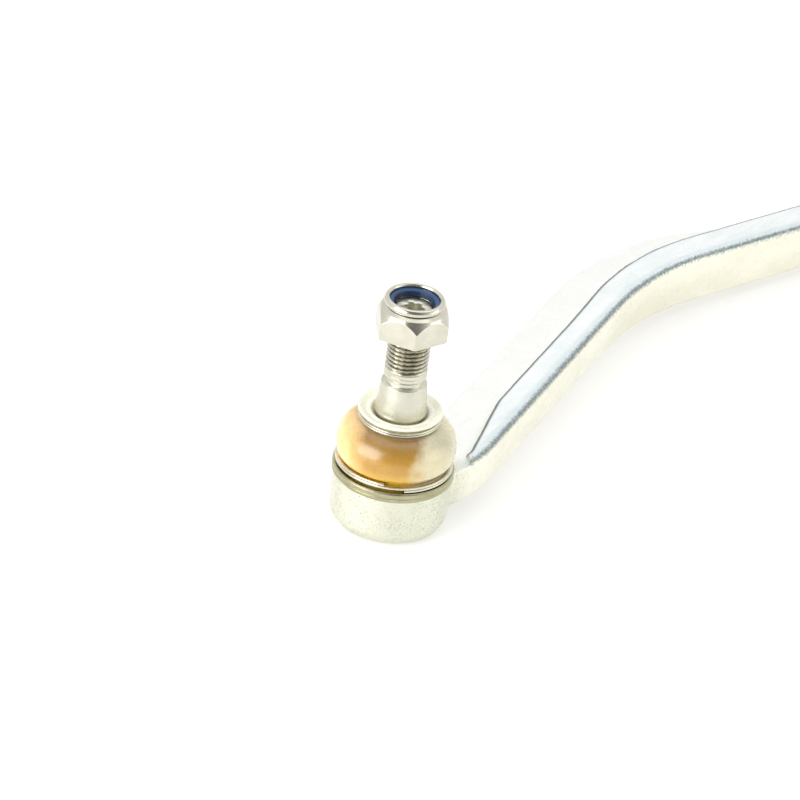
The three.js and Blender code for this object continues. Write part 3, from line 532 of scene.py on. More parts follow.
def boot_rubber():
    look = Look(
        "boot_rubber",
        attribute="at_rest",
        Specular_IOR_Level=0.6,
        Subsurface_Weight=0.25,
        Subsurface_Scale=0.001,
        Coat_Weight=0.8,
        Coat_Roughness=0.28,
    )
    look.shader.inputs["Subsurface Radius"].default_value = (1.0, 0.7, 0.3)
    height = look.axis("Z")
    cloud = look.noise(per_mm(0.07), 3, 0.5)
    amber = look.tint(look.span(cloud, 0.3, 0.7), (0.42, 0.215, 0.02), (0.62, 0.36, 0.045))
    # painted shade: darker brown towards the top of the bulb, under the lip
    painted_under_lip_shade = look.span(height, 31 * MM, 36.5 * MM)
    amber = look.tint(look.times(painted_under_lip_shade, 0.75), amber, (0.20, 0.105, 0.02))
    base = look.span(height, 23.9 * MM, 28 * MM, 1, 0)
    tone = look.tint(look.times(base, 0.8), amber, (0.80, 0.50, 0.05))
    # painted reflection: the bulb's side towards the camera's right is painted pale, with a
    # wandering edge
    reflection_side_dot = look.add("VectorMath", operation="DOT_PRODUCT")
    look.feed(reflection_side_dot.inputs[0], look.place)
    reflection_side_dot.inputs[1].default_value = (0.588, -0.809, 0)
    wander = look.times(look.span(look.noise(per_mm(0.12), 3, 0.6), 0.3, 0.7, -1, 1), 2.2 * MM)
    across = look.sum(reflection_side_dot.outputs["Value"], wander)
    painted_side_reflection = look.times(look.span(across, 5.5 * MM, 10.5 * MM), 0.9)
    cream = look.tint(look.span(cloud, 0.35, 0.65), (0.58, 0.56, 0.39), (0.82, 0.76, 0.50))
    tone = look.tint(painted_side_reflection, tone, cream)
    # painted light: the bulb's side towards the camera's left is painted a lighter, yellower amber
    painted_left_glow = look.span(across, -18 * MM, -9 * MM, 0.85, 0)
    tone = look.tint(painted_left_glow, tone, (0.95, 0.66, 0.28))
    pale = look.span(height, BOOT_HIGH.z * MM - 4.4 * MM, BOOT_HIGH.z * MM - 3.4 * MM)
    look.colour(look.tint(pale, tone, (0.95, 0.93, 0.77)))
    look.roughness(look.span(look.noise(per_mm(0.7), 4, 0.6), 0.3, 0.7, 0.22, 0.32))
    look.bumps((look.noise(per_mm(0.12), 2, 0.5), 0.06), (look.noise(per_mm(2.5), 2), 0.002))
    return look.material


def nylon():
    look = Look("blue_nylon", Specular_IOR_Level=0.5, Subsurface_Weight=0.15)
    look.shader.inputs["Subsurface Scale"].default_value = 0.4 * MM
    # painted highlight: the top rim of the ring is painted a lighter blue
    top = look.span(look.axis("Z"), INSERT_HIGH.z * MM - 0.5 * MM, INSERT_HIGH.z * MM)
    tone = look.tint(look.noise(per_mm(0.4), 4), (0.006, 0.025, 0.085), (0.012, 0.05, 0.15))
    look.colour(look.tint(look.times(top, 0.8), tone, (0.025, 0.08, 0.19)))
    look.roughness(look.span(look.noise(per_mm(1.5), 4), 0.3, 0.7, 0.28, 0.42))
    look.bumps((look.noise(per_mm(1.8), 4), 0.01))
    return look.material


def acetal():
    look = Look("acetal", Specular_IOR_Level=0.5, Subsurface_Weight=0.1)
    look.colour(look.tint(look.noise(per_mm(0.3), 4), (0.80, 0.78, 0.70), (0.90, 0.88, 0.81)))
    look.roughness(look.span(look.noise(per_mm(1.2), 4), 0.3, 0.7, 0.35, 0.5))
    look.bumps((look.noise(per_mm(1.0), 4), 0.01))
    return look.material


def pale_floor():
    look = Look("pale_floor", Emission_Color=(1, 1, 0.99, 1), Emission_Strength=0.5)
    look.colour(look.tint(look.noise(3, 2), (0.52, 0.52, 0.51), (0.54, 0.54, 0.53)))
    look.roughness(look.span(look.noise(40, 3), 0.3, 0.7, 0.6, 0.75))
    return look.material


ZINC = zinc_forging()
TURNED_ZINC = turned_metal("turned_zinc", (0.36, 0.34, 0.20), (0.52, 0.50, 0.33), 0.27, 2.2)
PLATED = turned_metal("zinc_plate", (0.66, 0.68, 0.66), (0.82, 0.83, 0.80), 0.34, 1.4, 0.9)
WIRE = turned_metal("ring_wire", (0.62, 0.60, 0.48), (0.80, 0.78, 0.66), 0.22, 4.0)
STUD = turned_metal("stud_steel", (0.58, 0.57, 0.47), (0.72, 0.71, 0.61), 0.28, 1.5, depth=0.004)
THREAD = thread_steel("thread_steel", (0.56, 0.54, 0.44), (0.76, 0.74, 0.63), STUD_THREAD_RADIUS)
SHANK_THREAD = thread_steel(
    "plated_thread", (0.62, 0.64, 0.62), (0.82, 0.84, 0.81), SHANK_RADIUS, along_shank=True
)
NUT = turned_metal("nut_steel", (0.60, 0.58, 0.49), (0.74, 0.72, 0.61), 0.2, 0.6, depth=0.003)
# painted shade: a dark material for the lock nut's groove under its collar lip
DARK_CREASE_PAINT = turned_metal("painted_dark_crease", (0.10, 0.10, 0.08), (0.22, 0.21, 0.17), 0.35, 1.0)
SPRING = turned_metal("spring_steel", (0.16, 0.17, 0.20), (0.26, 0.27, 0.30), 0.34, 1.5)
RUBBER = boot_rubber()
NYLON = nylon()
ACETAL = acetal()

# ------------------------------------------------------------------ the forging


def arm_stations(spacing=2.5):
    """The arm's centre line from the housing to the shank's thread: straight runs and arcs."""
    corners = [ARM_START, CRANK_POINT, SHANK_POINT, (SHANK_THREAD_START, 0)]
    heading = [atan2(b[1] - a[1], b[0] - a[0]) for a, b in zip(corners, corners[1:])]
    stations, start = [], np.array(corners[0], float)
    for index, radius in ((1, CRANK_RADIUS), (2, SHANK_BEND_RADIUS)):
        before, after = heading[index - 1], heading[index]
        bend = after - before
        side = 1 if bend > 0 else -1
        tangent = radius * tan(abs(bend) / 2)
        end = np.array(corners[index]) - tangent * np.array([cos(before), sin(before)])
        steps = ceil(np.linalg.norm(end - start) / spacing)
        for step in range(1 if stations else 0, steps):
            stations.append((*mix(start, end, step / steps), before))
        middle = end + side * radius * np.array([-sin(before), cos(before)])
        steps = ceil(radius * abs(bend) / spacing)
        for step in range(steps + 1):
            angle = before + bend * step / steps
            point = middle + side * radius * np.array([sin(angle), -cos(angle)])
            stations.append((*point, angle))
        start = np.array(stations[-1][:2])
    steps = ceil((SHANK_THREAD_START - start[0]) / spacing)
    for step in range(1, steps + 1):
        stations.append((mix(start[0], SHANK_THREAD_START, step / steps), 0, 0))
    return stations


def rib_size(x):
    """Half width on the near and the far side, half height, and how far the rib is the shank."""
    grown = blend_of(x, CRANK_POINT[0] - 50, CRANK_POINT[0] + 30)
    shank = blend_of(x, *SHANK_BLEND)
    width, height = (
        mix(mix(root, crank, grown), 2 * SHANK_RADIUS, shank)
        for root, crank in zip(ARM_ROOT, ARM_CRANK)
    )
    sweep = max(0, ROOT_SWEEP_START - x) ** 2 / (2 * ROOT_SWEEP_RADIUS)
    reach = (ROOT_TAPER_START - x) / (ROOT_TAPER_START - FACING_RADIUS)
    taper = ROOT_TAPER * min(1, max(0, reach)) * blend_of(x, ARM_START[0], FACING_RADIUS)
    return width / 2 - sweep, width / 2 - taper, height / 2, shank


def in_place(station, section):
    """Points of a section (side, level) at a station (x, y, heading) of the arm."""
    x, y, heading = station
    return [
        (x - sin(heading) * side, y + cos(heading) * side, ARM_MIDDLE + level)
        for side, level in section
    ]


def rib_section(station):
    """The rib's outline across the arm: a tapered bar that turns into the round shank."""
    near, far, half, shank = rib_size(station[0])
    draft = ARM_DRAFT * (1 - shank)
    edges = (
        (-near, -1, -1, EDGE_RADIUS, pi),
        (far, 1, -1, EDGE_RADIUS, 1.5 * pi),
        (far, 1, 1, EDGE_RADIUS / 2, 0),
        (-near, -1, 1, NEAR_EDGE_RADIUS, 0.5 * pi),
    )
    section = []
    for index, (side, out, up, edge, start) in enumerate(edges):
        radius = mix(edge, SHANK_RADIUS, shank)
        centre = (side - out * radius, up * (half - radius))
        for across, level in arc(centre, radius, start, start + pi / 2, 8):
            section.append((across - out * draft * abs(level / half), level))
        if index == 1:
            section.append((far, 0))
        if index == 3:
            section.append((-near, 0))
    return in_place(station, section)


def web_section(station):
    """The web's outline across the arm, filleted into the rib's wall above and below."""
    x = station[0]
    _, far, _, _ = rib_size(x)
    end = SHANK_BLEND[0] - 4
    fade = 1 - blend_of(x, end - WEB_RUNOUT, end)
    reach = ARM_CRANK[0] / 2 - 1 + (WEB_OVERHANG + 1) * fade
    half = WEB_THICKNESS / 2
    fillet = max(0.05, min(WEB_FILLET, reach - far - 0.6))
    corner = far + fillet
    curve = arc((corner, half + fillet), fillet, 1.5 * pi, pi, 6)
    upper = [(reach - 1.2, half), *curve]
    tip = arc((reach - 1.2, half - 1.2), 1.2, 0, 0.5 * pi, 4)[:-1]
    top = [*tip, *upper, (far - 1.5, half + fillet)]
    return in_place(station, [*top, *((side, -level) for side, level in reversed(top))])


def cavity():
    """What is machined out of the forging: the seat's bore, the plate's recess and the facing."""
    return [
        (0, -1),
        (CRIMP_RADIUS, -1),
        (CRIMP_RADIUS, CRIMP_TOP),
        (PLATE_BORE, CRIMP_TOP),
        (PLATE_BORE, PLATE_LEDGE),
        (BORE_RADIUS, PLATE_LEDGE),
        (BORE_RADIUS, SHOULDER_BOTTOM),
        (SHOULDER_RADIUS - 0.05, SHOULDER_BOTTOM),
        (SHOULDER_RADIUS - 0.05, FACING_HEIGHT),
        (FACING_RADIUS, FACING_HEIGHT),
        (FACING_RADIUS + 1.5, FACING_HEIGHT + 6),
        (0, FACING_HEIGHT + 6),
    ]


def lumps(made, layers):
    """Moves each vertex along its normal by (size, height) layers of noise, in millimetres."""
    data = made.data
    count = len(data.vertices)
    points, normals = np.empty(count * 3), np.empty(count * 3)
    data.vertices.foreach_get("co", points)
    data.vertex_normals.foreach_get("vector", normals)
    points, normals = points.reshape(-1, 3), normals.reshape(-1, 3)
    shift = np.array([
        sum(height * noise.noise(Vector(p / (size * MM))) for size, height in layers)
        for p in points
    ])
    data.vertices.foreach_set("co", (points + normals * shift[:, None] * MM).ravel())
    data.update()


def closeness(points, line, width, fade):
    """For each point, 1 within a width of a line of points, and 0 beyond the fade."""
    share = np.zeros(len(points))
    for start, run in zip(line[:-1], np.diff(line, axis=0)):
        near = np.abs(points[:, 0] - start[0] - run[0] / 2) < 5
        reach = np.clip((points[near] - start) @ run / (run @ run), 0, 1)
        gap = np.linalg.norm(points[near] - start - reach[:, None] * run, axis=1)
        share[near] = np.maximum(share[near], np.clip((width + fade - gap) / fade, 0, 1))
    return share


def mark_painted_light(made, stations):
    """Marks where light and shade are painted on the zinc: a painted shade line along the rib's
    sharp inner edge, a painted shade band along its rounded outer edge, and a paler painted web."""
    points = np.empty(len(made.data.vertices) * 3)
    made.data.vertices.foreach_get("co", points)
    points = points.reshape(-1, 3) / MM
    inner, outer = [], []
    for station in stations:
        near, far, half, shank = rib_size(station[0])
        if station[0] > FACING_RADIUS - 6 and shank < 0.5:
            inner.append(in_place(station, [(far - ARM_DRAFT - 0.3, half - 0.12)])[0])
            outer.append(in_place(station, [(0.9 - near, half - 0.6)])[0])
    inner, outer = np.array(inner), np.array(outer)
    beyond = points[:, 1] - np.interp(points[:, 0], inner[:, 0], inner[:, 1])
    level = np.clip((ARM_MIDDLE + WEB_THICKNESS / 2 + 1.5 - points[:, 2]) / 0.5, 0, 1)
    painted_light_marks = np.stack([
        closeness(points, inner, 0.45, 0.5),
        closeness(points, outer, 0.35, 3.5),
        np.clip(beyond / 0.8, 0, 1) * level,
    ], 1)
    stored = made.data.attributes.new("painted_light_marks", "FLOAT_VECTOR", "POINT")
    stored.data.foreach_set("vector", painted_light_marks.ravel())


def forging():
    stations = arm_stations()
    rib = skin([rib_section(s) for s in stations])
    web = skin([web_section(s) for s in stations if s[0] < SHANK_BLEND[0] - 6])
    housing = turned(
        [
            (0, 0.45),
            *rounded(
                [
                    (2, 0.45),
                    (HOUSING_RADIUS - HOUSING_CHAMFER[0], 0.45, 0.5),
                    (HOUSING_RADIUS, 0.45 + HOUSING_CHAMFER[1], 1.2),
                    (HOUSING_RADIUS, SHOULDER_BOTTOM + 0.9),
                    (2, SHOULDER_BOTTOM + 0.9),
                ],
                closed=False,
            ),
            (0, SHOULDER_BOTTOM + 0.9),
        ]
    )
    made = build("forging", merged(rib, web, housing))
    fused = made.modifiers.new("fused", "REMESH")
    fused.mode, fused.voxel_size = "VOXEL", 0.5 * MM
    relaxed = made.modifiers.new("relaxed", "SMOOTH")
    relaxed.factor, relaxed.iterations = 0.5, 6
    applied(made)
    lumps(made, ((9, 0.10), (2.6, 0.05), (1.1, 0.02)))
    cut(made, turned(cavity(), 192))
    soften(made, 32)
    mark_painted_light(made, stations)
    return finish_piece(made, ZINC, "root", "zinc_forging", "forged_body")


forging()


def turned_shoulder():
    """The machined seat of the gaiter: a ledge that carries the base ring, and the collar."""
    bottom = SHOULDER_BOTTOM
    mouth = COLLAR_TOP - LIP_THICKNESS
    outline = rounded([
        (BORE_RADIUS, bottom),
        (HOUSING_RADIUS + 0.05, bottom),
        (SHOULDER_RADIUS, bottom + 0.7, 0.25),
        (SHOULDER_RADIUS, bottom + 1.5, 0.1),
        (SHOULDER_RADIUS - 0.14, bottom + 1.6, 0.05),
        (SHOULDER_RADIUS - 0.14, bottom + 1.75, 0.05),
        (SHOULDER_RADIUS, bottom + 1.85, 0.1),
        (SHOULDER_RADIUS, SHOULDER_TOP - 0.45, 0.2),
        (SHOULDER_RADIUS - 0.45, SHOULDER_TOP, 0.2),
        (COLLAR_RADIUS, SHOULDER_TOP, 0.3),
        (COLLAR_RADIUS, COLLAR_TOP - 1, 0.3),
        (COLLAR_RADIUS - 1, COLLAR_TOP, 0.3),
        (12.1, COLLAR_TOP, 0.3),
        (10.9, mouth, 0.2),
        (BORE_RADIUS, mouth, 0.2),
    ])
    made = build("turned_shoulder", turned(outline, 256), 50)
    finish_piece(made, TURNED_ZINC, "root", "zinc_forging")


turned_shoulder()


def thread_rows(radius, bottom, top, segments, lead_in=1.0, lead_out=1.0):
    """Rows of a helical thread about Z: its ridge winds up one pitch in every turn."""
    angles = around(segments)
    rows = []
    for height in np.arange(bottom, top + 1e-6, THREAD_PITCH / THREAD_STEPS):
        phase = (height / THREAD_PITCH - angles / TURN) % 1
        ridge = 1 - np.clip(np.abs(phase - 0.5) * 2 * 1.16 - 0.06, 0, 1)
        ridge = ridge * ridge * (3 - 2 * ridge) * 0.35 + ridge * 0.65
        fade = min(1, (height - bottom) / lead_in) * min(1, (top - height) / lead_out)
        depth = THREAD_DEPTH * (1 - ridge)
        wander = 0.03 * np.sin(3 * angles + height * 1.7)
        rows.append((radius - mix(THREAD_DEPTH * 0.25, depth, fade) + wander * fade, height))
    return rows


def shank_thread():
    """The thread, the chamfered end and the centre hole it was turned on."""
    length = BODY_HIGH.x - SHANK_THREAD_START
    segments = 128
    flat = np.ones(segments)
    rim = 1.3
    rows = [(flat * (SHANK_RADIUS - 0.2), 0)]
    rows += thread_rows(SHANK_RADIUS, 0.15, length - rim, segments)
    rows += [
        (flat * (SHANK_RADIUS - 0.35 - rim * share), length - rim + rim * share)
        for share in (0.25, 0.5, 0.75, 0.96)
    ]
    rows += [
        (flat * (SHANK_RADIUS - 0.5 - rim), length),
        (flat * 2.4, length),
        (flat * 2.2, length - 0.15),
        (flat * 0.4, length - 1.9),
    ]
    shape = along_x(swept(rows, segments, False), SHANK_THREAD_START)
    made = build("shank_thread", shape, 60)
    finish_piece(made, SHANK_THREAD, "root", "zinc_forging")


shank_thread()


def closing_plate():
    """A pressed plate with a raised boss, held by the rolled edge of the housing."""
    step = PLATE_HIGH.z - PLATE_THICKNESS
    radius, boss = PLATE_HIGH.x, PLATE_BOSS_RADIUS
    outline = [
        (0, 0.35),
        *rounded(
            [
                (1.2, 0.35),
                (3.2, 0.35, 0.8),
                (4.2, 0, 0.8),
                (boss, 0, 0.7),
                (boss + step, step, 0.6),
                (radius, step, 0.2),
                (radius, step + PLATE_THICKNESS, 0.2),
                (boss + step - 0.6, step + PLATE_THICKNESS, 0.6),
                (boss - 0.6, PLATE_THICKNESS, 0.6),
                (1.2, PLATE_THICKNESS),
            ],
            closed=False,
        ),
        (0, PLATE_THICKNESS),
    ]
    made = build("pressed_plate", turned(outline, 160), 45)
    finish_piece(made, PLATED, "root", "zinc_plate", "closing_plate")


closing_plate()

# ------------------------------------------------------------------ gaiter and its rings

BULB_LEVEL = 28.59
NECK_RADIUS = 11.6
SPLIT_ANGLE = 0.27  # where the lower half of the gaiter meets the upper half
NECK_LEVEL = TOP_RING_LOW.z - 0.3
FOOT_TOP = BASE_RING_HIGH.z + 0.3


def dome(inset, start, end, steps):
    """The gaiter's bulb in section, from one angle to another, that far inside its outer face."""
    reach = BOOT_HIGH.x - NECK_RADIUS - inset
    rise = NECK_LEVEL - BULB_LEVEL - inset
    return [
        (NECK_RADIUS + reach * cos(a), BULB_LEVEL + rise * sin(a))
        for a in np.linspace(start, end, steps + 1)
    ]


def gaiter_half(name, outline):
    """A part of the gaiter, turned from an outline, with its rest points stored as at_rest."""
    made = build(name, turned(outline, 192), 50)
    points = np.array([v.co for v in made.data.vertices])
    rest = made.data.attributes.new("at_rest", "FLOAT_VECTOR", "POINT")
    rest.data.foreach_set("vector", points.ravel())
    finish_piece(made, RUBBER, None, "boot_rubber", "boot")
    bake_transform(made)


def gaiter():
    foot = [
        (16.3, BOOT_LOW.z, 0.2),
        (17.2, BOOT_LOW.z, 0.2),
        (17.2, FOOT_TOP, 0.3),
        (18.3, FOOT_TOP + 0.05, 0.45),
        (18.95, FOOT_TOP + 0.95, 0.3),
    ]
    lower = [
        *rounded([*foot, dome(0, -0.42, 0, 1)[0]], 5, closed=False),
        *dome(0, -0.4, SPLIT_ANGLE, 22),
        *dome(BOOT_WALL, SPLIT_ANGLE, -0.32, 14),
        (16.3, FOOT_TOP + 0.4),
    ]
    gaiter_half("gaiter_lower", lower)
    top = BOOT_HIGH.z
    lip = top - 1.3
    mouth = rounded(
        [
            dome(0, 1.4, 1.4, 0)[0],
            (NECK_RADIUS, NECK_LEVEL + 0.02, 0.5),
            (NECK_RADIUS, lip, 0.35),
            (13.5, lip + 0.15, 0.25),
            (13.9, lip + 0.75, 0.22),
            (13.75, top, 0.2),
            (13.2, top - 0.05, 0.3),
            (11.2, top - 0.95, 0.5),
            (10.3, top - 0.7, 0.35),
            (9.55, top - 0.95, 0.35),
            (8.2, top - 2.6, 0.8),
            (6.8, NECK_LEVEL, 0.4),
            (6.8, NECK_LEVEL - BOOT_WALL, 0.4),
            dome(BOOT_WALL, 1.3, 1.3, 0)[0],
        ],
        5,
        closed=False,
    )
    upper = [
        *dome(0, SPLIT_ANGLE, 1.38, 34),
        *mouth,
        *dome(BOOT_WALL, 1.28, SPLIT_ANGLE, 16),
    ]
    gaiter_half("gaiter_upper", upper)


gaiter()


def wound_ring(name, node, body, radii, wire, start):
    """A flat wire with rounded edges, wound on edge in turns that lie on each other."""
    inner, outer = radii
    low, high = extent(node)
    rise = high.z - low.z - wire
    section = rounded(
        [(inner, 0, 0.16), (outer, 0, 0.24), (outer, wire, 0.24), (inner, wire, 0.16)], 4
    )
    rings = []
    for angle in np.linspace(0, RING_TURNS * TURN, ceil(RING_TURNS * 128)):
        lift = low.z + rise * angle / (RING_TURNS * TURN)
        rings.append([
            (r * cos(start + angle), r * sin(start + angle), z + lift) for r, z in section
        ])
    made = build(name, skin(rings), 50)
    finish_piece(made, WIRE, body, "ring_wire", node)


base_radii = BASE_WIRE_BORE, BASE_RING_HIGH.x
top_radii = TOP_WIRE_BORE, TOP_RING_HIGH.x
wound_ring("base_ring", "boot_base_ring", "root", base_radii, BASE_WIRE, BASE_WIRE_START)
wound_ring("top_ring", "boot_top_ring", "boot_neck", top_radii, TOP_WIRE, TOP_WIRE_START)

# ------------------------------------------------------------------ ball stud


def second_material(made, material, low, high, beyond):
    """Another material between two heights, on the faces further than that from the axis."""
    made.data.materials.append(material)
    for face in made.data.polygons:
        x, y, z = face.center / MM
        if low < z < high and hypot(x, y) > beyond:
            face.material_index = 1


def lobes(segments):
    """Radii of the six-lobe recess: six broad lobes with narrower waists between them."""
    swing = np.cos(6 * around(segments))
    shaped = np.sign(swing) * np.abs(swing) ** 0.75
    return (LOBE_REACH + LOBE_WAIST) / 2 + (LOBE_REACH - LOBE_WAIST) / 2 * shaped


def ball_stud():
    segments = 160
    flat = np.ones(segments)
    centre, top = BALL_CENTRE.z, STUD_HIGH.z
    sole_angle = -asin(BALL_SOLE_RADIUS / BALL_RADIUS)
    neck_angle = acos(STUD_NECK_RADIUS / BALL_RADIUS) - 0.03
    major = STUD_THREAD_RADIUS
    scored = major - 0.12
    outline = rounded(
        [
            *arc((0, centre), BALL_RADIUS, sole_angle, neck_angle, 44),
            (STUD_NECK_RADIUS, centre + 10.3, 0.3),
            (STUD_NECK_RADIUS, STUD_NECK_TOP, 3),
            (BULGE_RADIUS - 0.5, 39.9, 1.2),
            (BULGE_RADIUS, 41.0, 0.8),
            (TAPER_LOW_RADIUS, TAPER_LOW, 0.5),
            (TAPER_HIGH_RADIUS, TAPER_HIGH - 0.45, 0.2),
            (7.05, TAPER_HIGH, 0.2),
            (UNDERCUT_RADIUS, TAPER_HIGH + 0.25, 0.25),
            (UNDERCUT_RADIUS, 53.7, 0.35),
            (major, 54.5, 0.15),
            (major, 55.62, 0.05),
            (scored, 55.72, 0.04),
            (scored, 55.82, 0.04),
            (major, 55.92, 0.05),
            (major, STUD_THREAD_START - 0.1, 0.2),
        ],
        5,
        closed=False,
    )
    rows = [(flat * r, z) for r, z in outline]
    rows += thread_rows(major, STUD_THREAD_START, top - 1.0, segments, 1.2, 0.8)
    rows += [
        (flat * radius, top - drop)
        for radius, drop in ((6.55, 0.75), (6.2, 0.3), (5.9, 0.06), (5.6, 0))
    ]
    rim = lobes(segments)
    rows += [
        (rim + 0.35, top),
        (rim + 0.12, top - 0.08),
        (rim, top - 0.3),
        (rim, top - 4.6),
        (rim * 0.9, top - 4.9),
        (rim * 0.3, top - 5.3),
    ]
    made = build("tapered_stud", swept(rows, segments, False), 40)
    finish_piece(made, STUD, "stud", "stud_steel", "ball_stud")
    second_material(made, THREAD, STUD_THREAD_START - 0.3, top - 0.2, 5)


ball_stud()

# ------------------------------------------------------------------ nuts


def hexagon(across_flats, angles, turn, crispness=110):
    """Radii of a hexagon with slightly rounded corners."""
    total = sum(
        np.maximum(0, np.cos(angles - turn - (k + 0.5) * TURN / 6)) ** crispness for k in range(6)
    )
    return across_flats / 2 * total ** (-1 / crispness)


def softest(a, b, width):
    """The lesser of two radii, with the crease between them rounded over a width."""
    share = np.clip(0.5 + 0.5 * (b - a) / width, 0, 1)
    return b * (1 - share) + a * share - width * share * (1 - share)


def hex_rows(across_flats, height, turn, segments, top_slope, foot, bottom_slope):
    """The outside of a hexagon nut from its foot to its head, its corners turned off at cones."""
    spacing = 0.06
    radii = hexagon(across_flats, around(segments), turn)
    flat = across_flats / 2 - 0.4
    levels = np.unique(np.round(np.concatenate([
        np.arange(0, 2.6, spacing),
        np.linspace(2.6, height - 4.2, 8),
        np.arange(height - 4.2, height, spacing),
        [height],
    ]), 4))
    rows = []
    for level in levels:
        upper = flat + (height - level) / top_slope
        lower = foot + level / bottom_slope
        rows.append((softest(softest(radii, upper, 0.1), lower, 0.12), level))
    return rows


def lock_nut():
    segments = 432
    flat = np.ones(segments)
    seat = NUT_LOW.z
    height = NUT_HIGH.z - seat
    hex_height = LOCK_NUT_HEX
    bore, pocket, opening = LOCK_NUT_BORE, LOCK_NUT_POCKET, LOCK_NUT_OPENING
    outside = hex_rows(
        LOCK_NUT_FLATS, hex_height, LOCK_NUT_TURN, segments, LOCK_NUT_SLOPE, 12.45, 0.6
    )
    collar = rounded(
        [
            (10.62, hex_height),
            (10.5, hex_height + 0.03, 0.08),
            (9.35, hex_height + 0.95, 0.05),
            (9.05, hex_height + 1.12, 0.05),
            (9.75, hex_height + 1.5, 0.15),
            (10.0, height - 0.95, 0.75),
            (9.3, height, 0.55),
            (opening + 0.35, height, 0.35),
            (opening, height - 0.5, 0.3),
            (opening, height - 0.9, 0.1),
            (pocket, height - 0.9, 0.1),
            (pocket, height - 3.9),
            (bore, height - 4.0, 0.1),
            (bore, 1.3, 0.2),
            (bore + 0.9, 0.12, 0.1),
        ],
        6,
        closed=False,
    )
    rows = [*outside, *((flat * r, z) for r, z in collar)]
    vertices, faces = swept(rows, segments)
    vertices[:, 2] += seat
    made = build("lock_nut_plated", (vertices, faces), 40)
    finish_piece(made, NUT, "nut", "nut_steel", "lock_nut")
    shoulder = seat + hex_height
    # painted shade: the groove under the collar's lip gets the dark material
    second_material(made, DARK_CREASE_PAINT, shoulder + 0.85, shoulder + 1.42, 8.9)


lock_nut()


def nylon_insert():
    low, high, outer = INSERT_LOW.z, INSERT_HIGH.z, INSERT_HIGH.x
    outline = rounded([
        (6.75, low, 0.15),
        (outer, low, 0.15),
        (outer, high - 0.05, 0.25),
        (7.9, high, 0.25),
        (7.2, high - 0.05, 0.35),
        (6.54, high - 0.55, 0.35),
        (6.54, low + 0.3, 0.15),
    ])
    made = build("nylon_ring", turned(outline, 192), 50)
    finish_piece(made, NYLON, "nut_travel", "blue_nylon", "nut_insert")


nylon_insert()


def jam_nut():
    segments = 432
    flat = np.ones(segments)
    height = JAM_HIGH.x - JAM_LOW.x
    bore = SHANK_RADIUS + SHANK_CLEARANCE
    outside = hex_rows(JAM_NUT_FLATS, height, pi / 6, segments, JAM_NUT_SLOPE, 11.9, JAM_NUT_SLOPE)
    mouth = [(bore + 1.1, 0), (bore + 0.9, 0.1), (bore, 1.1)]
    inside = [*((r, height - z) for r, z in mouth), *reversed(mouth)]
    rows = [*outside, *((flat * r, z) for r, z in inside)]
    made = build("jam_nut_plated", along_x(swept(rows, segments), JAM_LOW.x), 40)
    finish_piece(made, NUT, "jam", "nut_steel", "jam_nut")


def lock_washer():
    thickness = WASHER_HIGH.x - WASHER_LOW.x
    inner, outer = SHANK_RADIUS + SHANK_CLEARANCE, WASHER_HIGH.y
    outline = rounded([
        (inner, 0, 0.25),
        (outer, 0, 0.3),
        (outer, thickness, 0.3),
        (inner, thickness, 0.25),
    ])
    made = build("plated_washer", along_x(turned(outline, 160), WASHER_LOW.x), 50)
    finish_piece(made, PLATED, "jam_travel", "zinc_plate", "shank_washer")


jam_nut()
lock_washer()

# ------------------------------------------------------------------ pieces kept from the frame
for node, material in (
    ("preload_spring", SPRING),
    ("lower_seat", ACETAL),
    ("bearing_shell", ACETAL),
):
    kept = frame["nodes"][node]
    for place in kept.material_slots:
        place.material = material

# ------------------------------------------------------------------ floor, light and camera


def floor():
    half = 3
    corners = [(-half, -half, 0), (half, -half, 0), (half, half, 0), (-half, half, 0)]
    data = bpy.data.meshes.new("floor")
    data.from_pydata(corners, [], [[0, 1, 2, 3]])
    made = bpy.data.objects.new("floor", data)
    bpy.context.scene.collection.objects.link(made)
    data.materials.append(pale_floor())
    made.location.z = cad_low.z


floor()

VIEW_HEADING = radians(36)  # of the camera's look, from +X towards +Y
VIEW_DROP = radians(30.83)
VIEW_ROLL = radians(7.59)
VIEW_DISTANCE = 1.5
SENSOR = 36
LENS = 208.74
LOOK = Vector((
    cos(VIEW_HEADING) * cos(VIEW_DROP),
    sin(VIEW_HEADING) * cos(VIEW_DROP),
    -sin(VIEW_DROP),
))
RIGHT = Vector((sin(VIEW_HEADING), -cos(VIEW_HEADING), 0))
UP = RIGHT.cross(LOOK)
AIM = Vector((0, 0, 0.04)) + RIGHT * -0.00056 + UP * 0.00368


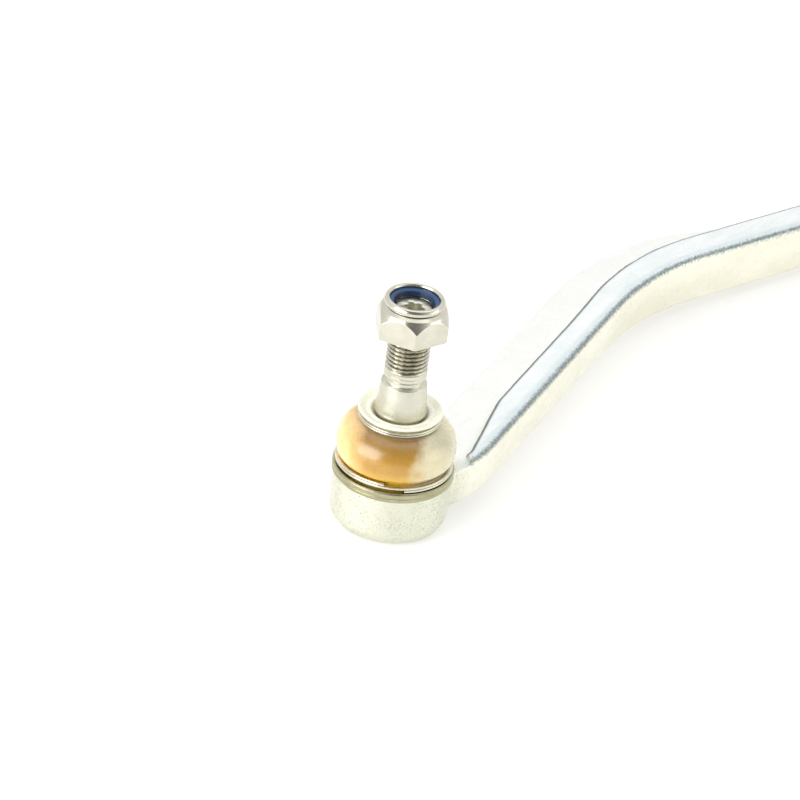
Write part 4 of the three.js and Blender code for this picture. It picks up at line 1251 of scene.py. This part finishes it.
def camera():
    data = bpy.data.cameras.new("camera")
    data.sensor_width, data.lens = SENSOR, LENS
    data.clip_start, data.clip_end = 0.1, 20
    made = bpy.data.objects.new("camera", data)
    bpy.context.scene.collection.objects.link(made)
    right = RIGHT * cos(VIEW_ROLL) + UP * sin(VIEW_ROLL)
    up = UP * cos(VIEW_ROLL) - RIGHT * sin(VIEW_ROLL)
    made.matrix_world = Matrix.Translation(AIM - LOOK * VIEW_DISTANCE) @ Matrix(
        (right, up, -LOOK)
    ).transposed().to_4x4()
    bpy.context.scene.camera = made


camera()


LIT_POINT = Vector((0.06, 0, 0.03))


def softbox(name, towards, distance, size, power, colour):
    """A square light that far away in a direction, aimed at a point near the ball joint."""
    data = bpy.data.lights.new(name, "AREA")
    data.shape, data.size = "SQUARE", size
    data.energy, data.color = power, colour
    made = bpy.data.objects.new(name, data)
    bpy.context.scene.collection.objects.link(made)
    away = Vector(towards).normalized()
    made.location = LIT_POINT + away * distance
    made.rotation_mode = "QUATERNION"
    made.rotation_quaternion = away.to_track_quat("Z", "Y")


TO_CAMERA = -LOOK
softbox("key", RIGHT * -0.66 - UP * 0.02 + TO_CAMERA * 0.66, 1.2, 0.85, 13, (1, 0.96, 0.94))
softbox("overhead", (0.1, 0.1, 1), 1.1, 1.3, 4, (1, 1, 1))
softbox("fill", RIGHT * 1.0 + UP * 0.1 + TO_CAMERA * 0.25, 1.3, 0.8, 2.5, (1, 0.97, 0.90))


def surroundings():
    """White all round, with a darker part of the room behind the camera."""
    world = bpy.data.worlds.new("surroundings")
    bpy.context.scene.world = world
    world.use_nodes = True
    tree = world.node_tree
    background = tree.nodes["Background"]
    place = tree.nodes.new("ShaderNodeTexCoord")
    towards = tree.nodes.new("ShaderNodeVectorMath")
    towards.operation = "DOT_PRODUCT"
    tree.links.new(place.outputs["Generated"], towards.inputs[0])
    towards.inputs[1].default_value = TO_CAMERA
    ramp = tree.nodes.new("ShaderNodeMapRange")
    tree.links.new(towards.outputs["Value"], ramp.inputs[0])
    for socket, value in zip(ramp.inputs[1:5], (0.45, 0.95, 1.0, 0.22)):
        socket.default_value = value
    tree.links.new(ramp.outputs[0], background.inputs["Color"])
    background.inputs["Strength"].default_value = 0.95


surroundings()
bpy.context.scene.view_settings.view_transform = "Standard"
